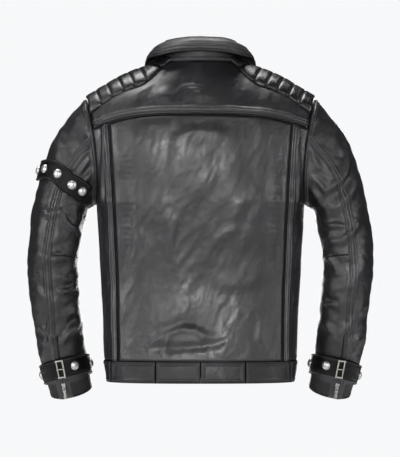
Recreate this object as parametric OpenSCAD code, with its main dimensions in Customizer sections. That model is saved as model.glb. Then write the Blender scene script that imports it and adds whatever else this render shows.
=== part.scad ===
// Leather riding jacket with quilted shoulders, a studded arm band and buckled cuffs.
// +X is the wearer's right, +Y the front, +Z up. The origin is the neck seam at the centre back.

/* [Leather] */
// Thickness of an outer leather panel with its backing
leather = 2; // [1.6:0.1:2.4]
// Thickness of the lining
lining = 1; // [0.8:0.1:1.2]
// Height of the quilting at the middle of a shoulder pad
pad_height = 9; // [6:0.5:10]
// Gap between neighbouring panels at a seam
seam_gap = 0.8; // [0.6:0.1:1]

/* [Waistband] */
// Width of each of the four back panels of the waistband
band_panel = 90; // [86:1:92]
// Thickness of the waistband
band_thick = 3.4; // [3:0.1:3.6]
// How far the waistband stands out from the panels
band_proud = 1.5; // [1:0.1:2]

/* [Straps] */
// Height of the arm band
arm_band_height = 42; // [36:1:44]
// Thickness of the straps
strap_thick = 4; // [3:0.1:4.4]
// Diameter of a dome stud
stud_dia = 18.6; // [16:0.1:19]

/* [Zips] */
// Width of a zip's teeth
teeth_width = 5.6; // [5:0.1:6]
// Width of a zip's tape on each side of its middle
tape_reach = 13; // [11:0.5:14]
// Length of a pull tab
tab_length = 20; // [17:1:22]

/* [Hidden] */

black = [0.1, 0.1, 0.11];
grey = [0.2, 0.2, 0.22];
quilt = [0.07, 0.07, 0.08];
cloth = [0.13, 0.12, 0.12];
nickel = [0.75, 0.75, 0.76];
$fn = 32;

// Heights of the hem, of the waistband's top seam and of the armpit
hem_z = -652;
band_z = -607;
armpit_z = -292;
// The armhole's ring: the height of its middle, half its height and half its depth
armhole_z = -185.5;
armhole_rise = 106.5;
armhole_depth = 76;
// Depth, before the shift to the nape, at which back and front meet
middle_y = 80;
// Where the back panel ends and the back side panel begins
side_seam_x = 177;
// How square the body's section is, and how full the shoulder's arc is
squareness = 2.6;
arc_power = 2.2;
// Half the gap between the two front edges, where the zip's teeth show
front_edge_x = 7;

// Half-width of the body at each height below the armpit
side_line = [[-652, 190], [-607, 196], [-485, 201], [-380, 207], [-292, 212]];
// Depth of the centre back at each height
back_line = [[-652, -30], [-560, -24], [-450, -22], [-350, -36], [-250, -46],
  [-170, -45], [-100, -38], [0, -28], [60, -28]];
// Height of the shoulder's ridge at each distance from the middle
ridge_line = [[0, 60], [50, 24], [84, -4], [104, -14], [133, -24], [168, -40],
  [196, -57], [233, -79]];
// Extra depth over the chest at each height
chest_line = [[-652, 0], [-450, 6], [-300, 16], [-200, 14], [-110, 0]];
// Height of the yoke's seam and of a pad's back and front seams
yoke_line = [[0, -110], [90, -112], [150, -119], [215, -136]];
pad_line = [[0, 0], [58, -2], [104, -45], [147, -63], [181, -81], [222, -110]];
front_top_line = [[0, -84], [50, -66], [80, -40], [104, -45], [147, -63],
  [181, -81], [222, -110]];
// Neck seam: distance from the middle and height at each angle from the centre back
neck_line = [[0, [0, 0]], [35, [50, 0]], [60, [72, -1.5]], [90, [84, -4]],
  [120, [76, -34]], [150, [48, -66]], [180, [0, -84]]];
// Collar: height of the fold, and the lower edge of the fall, at each angle
fold_line = [[0, 44], [45, 42], [90, 31], [135, -4], [168, -44]];
fall_line = [[0, [0, -18, 17]], [30, [50, -14, 14]], [60, [88, 14, 7]],
  [90, [110, 72, 1]], [120, [112, 124, -30]], [150, [92, 158, -84]], [168, [62, 164, -122]]];
// Sleeve: the outer and inner ends of each ring, from the armhole at 0 to the cuff at 5
outer_line = [[0, [233, -79]], [0.33, [272, -119]], [0.67, [308, -180]], [1, [338, -290]],
  [2, [351, -400]], [3, [345, -490]], [4, [331, -590]], [5, [306, -684]]];
inner_line = [[0, [212, -292]], [0.33, [216, -296]], [0.67, [222, -300]], [1, [230, -308]],
  [2, [249, -405]], [3, [246, -482]], [4, [236, -575]], [5, [222, -667]]];
// Sleeve: half-depth, middle and forward tilt of each ring
depth_line = [[0, 76], [1, 74], [2, 68], [3, 62], [4, 54], [5, 47]];
bend_line = [[0, 80], [1, 76], [2, 72], [3, 80], [4, 98], [5, 122]];
tilt_line = [[0, 0], [2, 0], [3, 0.1], [4, 0.22], [5, 0.24]];
// Where the soft zones of the shoulder and elbow end
head_end = 0.58;
elbow_start = 1.63;
elbow_end = 3.43;
ring_gap = 0.01;
// Half the cuff strap's height, in steps along the sleeve
cuff_strap_half = 0.215;
// Angle of the cuff's zip and buckle round the sleeve
cuff_zip_angle = -81;
buckle_angle = -84;

function mix(a, b, t) = a + (b - a) * t;
function limit(t) = max(0, min(1, t));
function ease(t) = let (c = limit(t)) c * c * (3 - 2 * c);
function unit(v) = v / norm(v);

// A smooth curve through points given as [place, value]
function slope(p, i) =
  let (a = max(0, i - 1), b = min(len(p) - 1, i + 1)) (p[b][1] - p[a][1]) / (p[b][0] - p[a][0]);
function through(p, at) =
  let (
    last = len(p) - 1,
    t = max(p[0][0], min(p[last][0], at)),
    i = min(last - 1, max([for (k = [0:last]) if (p[k][0] <= t) k])),
    h = p[i + 1][0] - p[i][0],
    u = (t - p[i][0]) / h
  )
  (2 * pow(u, 3) - 3 * u * u + 1) * p[i][1] + (pow(u, 3) - 2 * u * u + u) * h * slope(p, i)
  + (3 * u * u - 2 * pow(u, 3)) * p[i + 1][1] + (pow(u, 3) - u * u) * h * slope(p, i + 1);

// The body's skin. face is -1 on the back and 1 on the front.
function armhole_x(z) =
  let (c = max(-1, min(1, (z - armhole_z) / armhole_rise))) 222.5 + 10.5 * c - 12 * (1 - c * c);
function half_width(z) = z < armpit_z ? through(side_line, z) : armhole_x(z);
function armhole_half(z) =
  z <= armpit_z ? 0
  : z >= armhole_z ? armhole_depth
  : armhole_depth * sqrt(1 - pow((z - armhole_z) / armhole_rise, 2));
function front_line(z) = 150 - 0.075 * (z + 85);
function ridge_z(x) = through(ridge_line, abs(x));
function shoulder_arc(x, z) =
  pow(1 - pow(limit((z - armhole_z) / (ridge_z(x) - armhole_z)), arc_power), 1 / arc_power);
function skin_y(face, x, z) =
  let (
    s = limit(abs(x) / half_width(z)),
    power = mix(1 / squareness, 0.9, ease((z - armpit_z) / 62)),
    edge = middle_y + face * armhole_half(z),
    centre = face < 0
      ? through(back_line, z)
      : middle_y + (front_line(z) - middle_y) / shoulder_arc(0, z),
    chest = face < 0 ? 0 : 4 * s * s * (1 - s * s) * through(chest_line, z),
    flat_y = edge + (centre - edge) * pow(1 - pow(s, squareness), power) + chest
  )
  middle_y + (flat_y - middle_y) * shoulder_arc(x, z);
nape_y = skin_y(-1, 0, 0);
function skin(face, x, z) = [x, skin_y(face, x, z) - nape_y, z];

// The skin at an angle down from the shoulder's ridge
function over_shoulder(face, x, angle) =
  skin(face, x, mix(armhole_z, ridge_z(x), pow(cos(angle), 2 / arc_power)));
function angle_at(x, z) = acos(pow(limit((z - armhole_z) / (ridge_z(x) - armhole_z)), arc_power / 2));

// The sleeve's skin. Angle 0 is its outer side and 90 its front.
function armhole(angle) =
  let (z = armhole_z + armhole_rise * cos(angle)) skin(sin(angle) < 0 ? -1 : 1, armhole_x(z), z);
function sleeve_ring(w, angle) =
  let (
    o = through(outer_line, w),
    i = through(inner_line, w),
    c = (o + i) / 2,
    r = (o - i) / 2,
    d = through(depth_line, w) * sin(angle)
  )
  [c[0] + r[0] * cos(angle), through(bend_line, w) - nape_y + d,
   c[1] + r[1] * cos(angle) + through(tilt_line, w) * d];
function sleeve(w, angle) =
  mix(armhole(angle), sleeve_ring(w, angle), ease(w / 0.6)) + [seam_gap, 0, 0];

// Grids of points: rows run up and columns run from the back round the right side to the front
function grid_normal(g, i, j, closed) =
  let (
    m = len(g[0]),
    a = closed ? (j + m - 1) % m : max(0, j - 1),
    b = closed ? (j + 1) % m : min(m - 1, j + 1),
    up = g[min(len(g) - 1, i + 1)][j] - g[max(0, i - 1)][j]
  )
  unit(cross(g[i][b] - g[i][a], up));
function pushed(g, d, closed = false) =
  [for (i = [0:len(g) - 1]) [for (j = [0:len(g[0]) - 1]) g[i][j] + d * grid_normal(g, i, j, closed)]];

// A closed shell between an outer and an inner grid
module shell(outer, inner, closed = false) {
  n = len(outer);
  m = len(outer[0]);
  k = n * m;
  columns = closed ? m - 1 : m - 2;
  function at(i, j) = i * m + (j % m);
  points = concat([for (row = outer) each row], [for (row = inner) each row]);
  walls = [for (i = [0:n - 2]) for (j = [0:columns])
    let (a = at(i, j), b = at(i, j + 1), c = at(i + 1, j + 1), d = at(i + 1, j))
    each [[a, d, c], [a, c, b], [a + k, c + k, d + k], [a + k, b + k, c + k]]];
  ends = [for (j = [0:columns])
    let (a = at(0, j), b = at(0, j + 1), c = at(n - 1, j + 1), d = at(n - 1, j))
    each [[a, b, b + k], [a, b + k, a + k], [c, d, d + k], [c, d + k, c + k]]];
  sides = closed ? [] : [for (i = [0:n - 2])
    let (a = at(i, 0), d = at(i + 1, 0), b = at(i, m - 1), c = at(i + 1, m - 1))
    each [[d, a, a + k], [d, a + k, d + k], [b, c, c + k], [b, c + k, b + k]]];
  polyhedron(points, concat(walls, ends, sides), convexity = 10);
}

// A sheet whose outer face is moved out by proud
module sheet(g, thick, proud = 0, closed = false) {
  shell(pushed(g, proud, closed), pushed(g, proud - thick, closed), closed);
}

module left() {
  mirror([1, 0, 0]) children();
}

// Body panels
module back_panel() {
  edge = side_seam_x - seam_gap / 2;
  grid = [for (i = [0:12]) [for (j = [0:12])
    let (x = mix(-edge, edge, j / 12), top = through(yoke_line, abs(x)) - seam_gap / 2)
    skin(-1, x, mix(band_z, top, i / 12))]];
  color(grey) sheet(grid, leather);
}

module back_yoke() {
  grid = [for (i = [0:6]) [for (j = [0:20])
    let (
      v = j / 10 - 1,
      x0 = 217 * v,
      low = through(yoke_line, abs(x0)) + seam_gap / 2,
      high = through(pad_line, abs(x0)) - seam_gap / 2,
      z = mix(low, high, i / 6)
    )
    skin(-1, v * (half_width(z) - seam_gap), z)]];
  color(black) sheet(grid, leather);
}

module back_side_panel() {
  grid = [for (i = [0:14]) [for (j = [0:6])
    let (
      seam_x = side_seam_x + seam_gap / 2,
      top_x = 217 * sin(mix(asin(seam_x / 217), 89.9, j / 6)),
      z = mix(band_z, through(yoke_line, top_x) - seam_gap / 2, i / 14),
      width = half_width(z) - (z > armpit_z ? seam_gap : 0),
      angle = mix(asin(seam_x / width), 89.9, j / 6)
    )
    skin(-1, width * sin(angle), z)]];
  color(black) sheet(grid, leather);
}

module front_panel() {
  grid = [for (i = [0:14]) [for (j = [0:12])
    let (
      angle = mix(89.9, asin(front_edge_x / 212), j / 12),
      z = mix(band_z, through(front_top_line, 221 * sin(angle)) - seam_gap / 2, i / 14),
      width = half_width(z) - (z > armpit_z ? seam_gap : 0)
    )
    skin(1, max(front_edge_x, width * sin(angle)), z)]];
  color(grey) sheet(grid, leather);
}

// A quilted pad over the shoulder's ridge, higher between its stitched grooves
module shoulder_pad() {
  ribs = 7;
  function pad_x(u, v) = mix(mix(106, 80, abs(v)), mix(232, 223, pow(abs(v), 1.3)) - seam_gap, u);
  function base(u, v) =
    let (x = pad_x(u, v), low = through(pad_line, x) + seam_gap / 2)
    over_shoulder(v < 0 ? -1 : 1, x, abs(v) * angle_at(x, low));
  function lift(u, v) =
    1.2 + (pad_height - 1.2) * (1 - pow(v, 4)) * pow(abs(sin(180 * ribs * u)), 0.5);
  base_grid = [for (i = [0:10]) [for (j = [0:28]) base(j / 28, i / 5 - 1)]];
  outer = [for (i = [0:10]) [for (j = [0:28])
    base_grid[i][j] + lift(j / 28, i / 5 - 1) * grid_normal(base_grid, i, j, false)]];
  color(quilt) shell(outer, pushed(base_grid, 0.3));
}

// Collar
function neck(angle) =
  let (p = through(neck_line, abs(angle)), q = skin(abs(angle) < 90 ? -1 : 1, p[0], p[1]))
  [sign(angle) * q[0], q[1], q[2]];
function collar_fold(angle, radius) =
  [radius * sin(angle), 76 - radius * cos(angle), through(fold_line, abs(angle))];
function fall_edge(angle) =
  let (p = through(fall_line, abs(angle))) [sign(angle) * p[0], p[1], p[2]];

module collar_stand() {
  grid = [for (i = [0:3]) [for (j = [0:28])
    let (angle = mix(-168, 168, j / 28))
    mix(neck(angle) + [0, 0, 1], collar_fold(angle, 74) - [0, 0, 3], i / 3)]];
  color(black) sheet(grid, 2.4, 1.2);
}

module collar_fall() {
  grid = [for (i = [0:6]) [for (j = [0:28])
    let (
      angle = mix(-168, 168, j / 28),
      u = i / 6,
      fold = collar_fold(angle, 77.5),
      out = 7 * sin(180 * pow(u, 1.3))
    )
    mix(fall_edge(angle), fold, u) + out * [sin(angle), -cos(angle), 0.5]]];
  color(grey) sheet(grid, 2.4, 1.2);
}

// A leather loop inside the neck to hang the jacket by
module hang_loop() {
  color(black) translate([0, -1, -19]) rotate([0, 0, 14])
    rotate_extrude(angle = 152, $fn = 72) translate([21, 0]) square([1.6, 6]);
}

module body_lining() {
  top_line = [[0, -24], [58, -26], [104, -56], [147, -74], [181, -94], [222, -122]];
  inside = -leather - 2.5;
  inset = 2.5;
  back_grid = [for (i = [0:12]) [for (j = [0:16])
    let (
      angle = mix(-89.5, 89.5, j / 16),
      z = mix(band_z + 3, through(top_line, 214 * abs(sin(angle))), i / 12)
    )
    skin(-1, (half_width(z) - inset) * sin(angle), z)]];
  front_grid = [for (i = [0:12]) [for (j = [0:8])
    let (
      angle = mix(89.5, asin(30 / 212), j / 8),
      x = 214 * sin(angle),
      top = min(through(top_line, x), through(front_top_line, x) - 12),
      z = mix(band_z + 3, top, i / 12)
    )
    skin(1, (half_width(z) - inset) * sin(angle), z)]];
  color(cloth) {
    sheet(back_grid, lining, inside);
    sheet(front_grid, lining, inside);
    left() sheet(front_grid, lining, inside);
  }
}

// Waistband: four panels across the back, and one from each side seam to the front zip
module band_back(from_x, to_x) {
  grid = [for (i = [0:3]) [for (j = [0:5])
    skin(-1, mix(from_x + seam_gap / 2, to_x - seam_gap / 2, j / 5), mix(hem_z, band_z - seam_gap, i / 3))]];
  color(black) sheet(grid, band_thick, band_proud);
}

module waistband_front() {
  from_x = 2 * band_panel + seam_gap / 2;
  grid = [for (i = [0:3]) [for (j = [0:24])
    let (
      z = mix(hem_z, band_z - seam_gap, i / 3),
      width = half_width(z),
      start = asin(from_x / width),
      end = 180 - asin((front_edge_x + 1) / width),
      angle = mix(start, end, j / 24)
    )
    skin(angle < 90 ? -1 : 1, width * sin(angle), z)]];
  color(black) sheet(grid, band_thick, band_proud);
}

// Zips. Each is drawn along +Z with its face to +Y, and put in place by its own module.
// The slider's plate lies in front of the teeth, and its lug holds the tab's pin.
lug_y = 5.4;
pin_r = 1;
pin_clearance = 0.06;

module chain(length) {
  color(nickel) translate([-teeth_width / 2, -0.4, 0]) cube([teeth_width, 2.4, length]);
  color(cloth) translate([-tape_reach, -1.2, 0]) cube([2 * tape_reach, 0.8, length]);
}

module slider() {
  inside = teeth_width / 2 + 0.4;
  color(nickel) difference() {
    union() {
      hull() {
        translate([0, 2.4, 3]) rotate([-90, 0, 0]) cylinder(h = 1.4, r = 3);
        translate([-4.4, 2.4, 11]) cube([8.8, 1.4, 3]);
      }
      for (s = [-1, 1]) translate([s * (inside + 0.5) - 0.5, -0.1, 7]) cube([1, 3.2, 7]);
      translate([-1.4, 3.4, 3]) cube([2.8, 3.4, 5]);
    }
    translate([-2, lug_y, 5.5]) rotate([0, 90, 0]) cylinder(h = 4, r = pin_r + pin_clearance);
  }
}

// The tab hangs from its pin, on two ears either side of the lug
module pull(hang = 0) {
  color(nickel) translate([0, lug_y, 5.5]) rotate([hang, 0, 0]) {
    rotate([0, 90, 0]) cylinder(h = 6, r = pin_r, center = true);
    for (s = [-1, 1]) translate([s * 2.4 - 0.6, -0.9, -6]) cube([1.2, 1.8, 6.9]);
    translate([-3, -0.9, -9]) cube([6, 1.8, 3.2]);
    difference() {
      hull() {
        translate([-2.6, -0.8, -9]) cube([5.2, 1.6, 1]);
        translate([0, -0.8, 1 - tab_length]) rotate([-90, 0, 0]) cylinder(h = 1.6, r = 4);
      }
      translate([0, -2, 1 - tab_length]) rotate([-90, 0, 0]) cylinder(h = 4, r = 1.8);
    }
  }
}

// Front zip: along the straight front edge, leaning out towards the hem
front_zip_top = [0, front_line(-100) - nape_y - leather + 0.1, -100];
front_zip_lean = atan(0.075);
front_zip_length = 552;
module at_front_zip() {
  translate(front_zip_top) rotate([front_zip_lean, 0, 0]) children();
}
module front_zip_chain() { at_front_zip() translate([0, 0, -front_zip_length]) chain(front_zip_length); }
module front_zip_slider() { at_front_zip() translate([0, 0, -20]) slider(); }
module front_zip_pull() { at_front_zip() translate([0, 0, -20]) pull(); }

// A pocket zip stands on the front panel between two points of the skin
module between(x_low, z_low, x_high, z_high, proud) {
  low = skin(1, x_low, z_low);
  high = skin(1, x_high, z_high);
  along = unit(high - low);
  middle_x = (x_low + x_high) / 2;
  middle_z = (z_low + z_high) / 2;
  beside = skin(1, middle_x + 4, middle_z) - skin(1, middle_x - 4, middle_z);
  across = unit(beside - (beside * along) * along);
  out = cross(along, across);
  start = low + proud * out;
  multmatrix([
    [across[0], out[0], along[0], start[0]],
    [across[1], out[1], along[1], start[1]],
    [across[2], out[2], along[2], start[2]]
  ]) children();
}
pocket_length = 150;
pocket_low = [126, -520];
pocket_high = [160, -374];
module at_pocket() {
  between(pocket_low[0], pocket_low[1], pocket_high[0], pocket_high[1], 3) children();
}
module pocket_chain() { at_pocket() chain(pocket_length); }
module pocket_slider() { at_pocket() translate([0, 0, pocket_length - 20]) slider(); }
module pocket_pull() { at_pocket() translate([0, 0, pocket_length - 20]) pull(); }

chest_length = 120;
chest_low = [-62, -262];
chest_high = [-150, -180];
module at_chest() {
  between(chest_low[0], chest_low[1], chest_high[0], chest_high[1], 4.6) children();
}
module chest_chain() { at_chest() chain(chest_length); }
module chest_slider() { at_chest() translate([0, 0, chest_length - 20]) slider(); }
module chest_pull() { at_chest() translate([0, 0, chest_length - 20]) pull(); }

// Sleeves
module sleeve_part(from_w, to_w, rings) {
  grid = [for (i = [0:rings]) [for (j = [0:23]) sleeve(mix(to_w, from_w, i / rings), 15 * j)]];
  sheet(grid, leather, 0, true);
}
module sleeve_head() { color(grey) sleeve_part(0, head_end, 6); }
module upper_sleeve() { color(grey) sleeve_part(head_end + ring_gap, elbow_start, 7); }
module elbow_panel() { color(grey) sleeve_part(elbow_start + ring_gap, elbow_end, 6); }
module lower_sleeve() { color(grey) sleeve_part(elbow_end + ring_gap, 5, 8); }

// The cuff strap lies level from back to front, across the sleeve's forward lean
function strap_w(angle) = 4.5 + 0.04 * cos(angle) + 0.2 * sin(angle);
module cuff_strap() {
  grid = [for (i = [0:3]) [for (j = [0:31])
    let (angle = 11.25 * j)
    sleeve(strap_w(angle) + cuff_strap_half * (1 - 2 * i / 3), angle)]];
  color(black) sheet(grid, strap_thick, 1.5 + strap_thick, true);
}

// A place on the sleeve: x along the ring, y outwards and z up the sleeve
module on_sleeve(w, angle, proud) {
  here = sleeve(w, angle);
  along = unit(sleeve(w, angle - 1) - sleeve(w, angle + 1));
  up = sleeve(w - 0.02, angle) - sleeve(w + 0.02, angle);
  out = unit(cross(up, along));
  rise = cross(along, out);
  start = here + proud * out;
  multmatrix([
    [along[0], out[0], rise[0], start[0]],
    [along[1], out[1], rise[1], start[1]],
    [along[2], out[2], rise[2], start[2]]
  ]) children();
}

// A domed stud with its rim
module stud() {
  r = stud_dia / 2;
  rotate([-90, 0, 0]) rotate_extrude($fn = 48)
    intersection() {
      translate([0, -5.6]) circle(r = 10.6);
      square([r, 6]);
    }
}

cuff_stud_angles = [0, 55, 110, 182, -117];
module cuff_studs() {
  color(nickel) for (a = cuff_stud_angles)
    on_sleeve(strap_w(a), a, 1.8 + strap_thick) stud();
}

// A frame buckle: three flat sides and a round bar, which holds the prong
buckle_width = 16;
buckle_height = 39;
side_width = 3;
bar_r = 1.3;
buckle_out = 1.5 + strap_thick + 2.2;
module cuff_buckle() {
  color(nickel) on_sleeve(strap_w(buckle_angle), buckle_angle, buckle_out) {
    difference() {
      cube([buckle_width, 2.6, buckle_height], center = true);
      translate([-side_width, 0, 0])
        cube([buckle_width, 4, buckle_height - 2 * side_width], center = true);
    }
    translate([2 - buckle_width / 2, 0, 0])
      cylinder(h = buckle_height - side_width, r = bar_r, center = true);
  }
}
module cuff_prong() {
  color(nickel) on_sleeve(strap_w(buckle_angle), buckle_angle, buckle_out)
    translate([2 - buckle_width / 2, 0, 0]) {
      difference() {
        cylinder(h = 5, r = bar_r + 1.3, center = true);
        cylinder(h = 6, r = bar_r + pin_clearance, center = true);
      }
      translate([bar_r + 0.5, 0.4, -1.1]) cube([buckle_width - 7.5, 1.8, 2.2]);
      translate([buckle_width - 7, 1.7, -1.1]) cube([6, 1.8, 2.2]);
    }
}

cuff_zip_w = [4.06, 4.98];
module at_cuff_zip() {
  low = sleeve(cuff_zip_w[1], cuff_zip_angle);
  high = sleeve(cuff_zip_w[0], cuff_zip_angle);
  along = unit(high - low);
  beside = sleeve(4.5, cuff_zip_angle - 3) - sleeve(4.5, cuff_zip_angle + 3);
  across = unit(beside - (beside * along) * along);
  out = cross(along, across);
  start = low + 1.5 * out;
  multmatrix([
    [across[0], out[0], along[0], start[0]],
    [across[1], out[1], along[1], start[1]],
    [across[2], out[2], along[2], start[2]]
  ]) children();
}
// The cuff's zip leans forward with the sleeve, so its tab hangs clear of the leather
cuff_chain_length = 38;
cuff_slider_z = 20;
cuff_hang = 20;
module cuff_chain() { at_cuff_zip() chain(cuff_chain_length); }
module cuff_slider() { at_cuff_zip() translate([0, 0, cuff_slider_z]) slider(); }
module cuff_pull() { at_cuff_zip() translate([0, 0, cuff_slider_z]) pull(cuff_hang); }

// Arm band: a strap laid round the outside of the left sleeve, its ends caught in the underarm
function band_w(angle) =
  0.8 - 0.08 * pow(sin(angle), 2) - 0.42 * pow(max(0, -cos(angle)), 1.5);
function band_centre(angle) = sleeve(band_w(angle), angle);
function band_along(angle) = unit(band_centre(angle + 2) - band_centre(angle - 2));
function band_out(angle) =
  let (up = sleeve(band_w(angle) - 0.02, angle) - sleeve(band_w(angle) + 0.02, angle))
  unit(cross(band_along(angle), up));
function band_point(angle, side) =
  band_centre(angle) + side * arm_band_height / 2 * cross(band_out(angle), band_along(angle));
module arm_band() {
  grid = [for (i = [0:2]) [for (j = [0:30])
    let (angle = mix(-130, 130, j / 30)) band_point(angle, i - 1) + 3 * band_out(angle)]];
  color(black) sheet(grid, strap_thick, strap_thick);
}
arm_band_stud_angles = [-120, -100, -70, -38, -4, 28, 58, 86, 112];
module arm_band_studs() {
  color(nickel) for (a = arm_band_stud_angles) {
    out = band_out(a);
    along = band_along(a);
    rise = cross(out, along);
    start = band_centre(a) + (3.3 + strap_thick) * out;
    multmatrix([
      [-along[0], out[0], rise[0], start[0]],
      [-along[1], out[1], rise[1], start[1]],
      [-along[2], out[2], rise[2], start[2]]
    ]) stud();
  }
}

back_panel();
back_yoke();
left() back_side_panel();  // left_back_side_panel
back_side_panel();  // right_back_side_panel
left() front_panel();  // left_front_panel
front_panel();  // right_front_panel
left() shoulder_pad();  // left_shoulder_pad
shoulder_pad();  // right_shoulder_pad
collar_stand();
collar_fall();
hang_loop();
body_lining();
band_back(-2 * band_panel, -band_panel);  // waistband_outer_left
band_back(-band_panel, 0);  // waistband_inner_left
band_back(0, band_panel);  // waistband_inner_right
band_back(band_panel, 2 * band_panel);  // waistband_outer_right
left() waistband_front();  // left_waistband_front
waistband_front();  // right_waistband_front
front_zip_chain();
front_zip_slider();
front_zip_pull();
chest_chain();  // chest_zip_chain
chest_slider();  // chest_zip_slider
chest_pull();  // chest_zip_pull
left() pocket_chain();  // left_pocket_zip_chain
left() pocket_slider();  // left_pocket_zip_slider
left() pocket_pull();  // left_pocket_zip_pull
pocket_chain();  // right_pocket_zip_chain
pocket_slider();  // right_pocket_zip_slider
pocket_pull();  // right_pocket_zip_pull
left() sleeve_head();  // left_sleeve_head
left() upper_sleeve();  // left_upper_sleeve
left() elbow_panel();  // left_elbow_panel
left() lower_sleeve();  // left_lower_sleeve
sleeve_head();  // right_sleeve_head
upper_sleeve();  // right_upper_sleeve
elbow_panel();  // right_elbow_panel
lower_sleeve();  // right_lower_sleeve
left() cuff_chain();  // left_cuff_zip_chain
left() cuff_slider();  // left_cuff_zip_slider
left() cuff_pull();  // left_cuff_zip_pull
cuff_chain();  // right_cuff_zip_chain
cuff_slider();  // right_cuff_zip_slider
cuff_pull();  // right_cuff_zip_pull
left() cuff_strap();  // left_cuff_strap
left() cuff_studs();  // left_cuff_studs
left() cuff_buckle();  // left_cuff_buckle
left() cuff_prong();  // left_cuff_prong
cuff_strap();  // right_cuff_strap
cuff_studs();  // right_cuff_studs
cuff_buckle();  // right_cuff_buckle
cuff_prong();  // right_cuff_prong
left() arm_band();
left() arm_band_studs();
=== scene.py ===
"""A leather riding jacket with quilted shoulders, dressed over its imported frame.

The frame gives every body, joint and node. Each operator below makes one piece or one group of
like pieces. Leather parts are grids of points laid over the same skin that the frame's panels
follow, in millimetres, and are made into meshes in metres.
"""

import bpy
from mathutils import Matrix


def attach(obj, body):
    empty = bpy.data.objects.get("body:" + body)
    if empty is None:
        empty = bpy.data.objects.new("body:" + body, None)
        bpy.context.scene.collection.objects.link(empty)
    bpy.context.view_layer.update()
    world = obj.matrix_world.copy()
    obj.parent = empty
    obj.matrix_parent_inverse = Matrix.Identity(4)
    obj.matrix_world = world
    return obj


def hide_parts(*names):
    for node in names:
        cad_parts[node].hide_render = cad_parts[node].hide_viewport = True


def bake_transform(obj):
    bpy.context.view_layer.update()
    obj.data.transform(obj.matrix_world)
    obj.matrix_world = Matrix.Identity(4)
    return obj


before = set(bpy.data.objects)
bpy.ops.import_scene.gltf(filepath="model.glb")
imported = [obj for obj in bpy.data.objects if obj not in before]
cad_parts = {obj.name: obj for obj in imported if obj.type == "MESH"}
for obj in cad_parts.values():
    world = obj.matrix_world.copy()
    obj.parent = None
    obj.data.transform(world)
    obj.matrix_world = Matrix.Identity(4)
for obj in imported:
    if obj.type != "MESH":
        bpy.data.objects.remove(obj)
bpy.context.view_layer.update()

import itertools
import math

import bmesh
import bpy
import numpy as np
from mathutils import Matrix, Vector

bl_info = {
    "name": "Leather riding jacket",
    "version": (1, 0, 0),
    "blender": (4, 5, 0),
    "location": "View3D > Sidebar > Jacket",
    "description": "Makes the leather, linings, straps and metal of a riding jacket",
    "category": "Object",
}

MM = 0.001
SIDES = (("left", -1), ("right", 1))
HALF_ROUND = np.radians(89.9)

# The skin that the frame's panels follow, in millimetres from the nape.
ARMPIT_Z, BAND_Z, HEM_Z = -292, -607, -652
ARMHOLE_Z, ARMHOLE_RISE, ARMHOLE_DEPTH = -185.5, 106.5, 76
MIDDLE_Y = 80
SIDE_SEAM_X = 177
FRONT_EDGE_X = 7
SQUARENESS, ARC_POWER = 2.6, 2.2
SEAM_GAP = 0.8
LEATHER = 2
BAND_THICK, BAND_PROUD, BAND_PANEL = 3.4, 1.5, 90
STRAP_THICK = 4
SIDE_LINE = ((-652, 190), (-607, 196), (-485, 201), (-380, 207), (-292, 212))
BACK_LINE = ((-652, -30), (-560, -24), (-450, -22), (-350, -36), (-250, -46),
             (-170, -45), (-100, -38), (0, -28), (60, -28))
RIDGE_LINE = ((0, 60), (50, 24), (84, -4), (104, -14), (133, -24), (168, -40),
              (196, -57), (233, -79))
CHEST_LINE = ((-652, 0), (-450, 6), (-300, 16), (-200, 14), (-110, 0))
YOKE_LINE = ((0, -110), (90, -112), (150, -119), (215, -136))
PAD_LINE = ((0, 0), (58, -2), (104, -45), (147, -63), (181, -81), (222, -110))
FRONT_TOP_LINE = ((0, -84), (50, -66), (80, -40), (104, -45), (147, -63), (181, -81), (222, -110))
NECK_LINE = ((0, (0, 0)), (35, (50, 0)), (60, (72, -1.5)), (90, (84, -4)), (120, (76, -34)),
             (150, (48, -66)), (180, (0, -84)))
FOLD_LINE = ((0, 44), (45, 42), (90, 31), (135, -4), (168, -44))
FALL_LINE = ((0, (0, -18, 17)), (30, (50, -14, 14)), (60, (88, 14, 7)), (90, (110, 72, 1)),
             (120, (112, 124, -30)), (150, (92, 158, -84)), (168, (62, 164, -122)))
LINING_LINE = ((0, -24), (58, -26), (104, -56), (147, -74), (181, -94), (222, -122))
OUTER_LINE = ((0, (233, -79)), (0.33, (272, -119)), (0.67, (308, -180)), (1, (338, -290)),
              (2, (351, -400)), (3, (345, -490)), (4, (331, -590)), (5, (306, -684)))
INNER_LINE = ((0, (212, -292)), (0.33, (216, -296)), (0.67, (222, -300)), (1, (230, -308)),
              (2, (249, -405)), (3, (246, -482)), (4, (236, -575)), (5, (222, -667)))
DEPTH_LINE = ((0, 76), (1, 74), (2, 68), (3, 62), (4, 54), (5, 47))
BEND_LINE = ((0, 80), (1, 76), (2, 72), (3, 80), (4, 98), (5, 122))
TILT_LINE = ((0, 0), (2, 0), (3, 0.1), (4, 0.22), (5, 0.24))
# The seam down the back of the sleeve: its angle at each place along the sleeve
SLEEVE_SEAM_LINE = ((0, -76), (0.5, -86), (1, -88), (3, -89), (4, -82), (5, -81))


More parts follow.
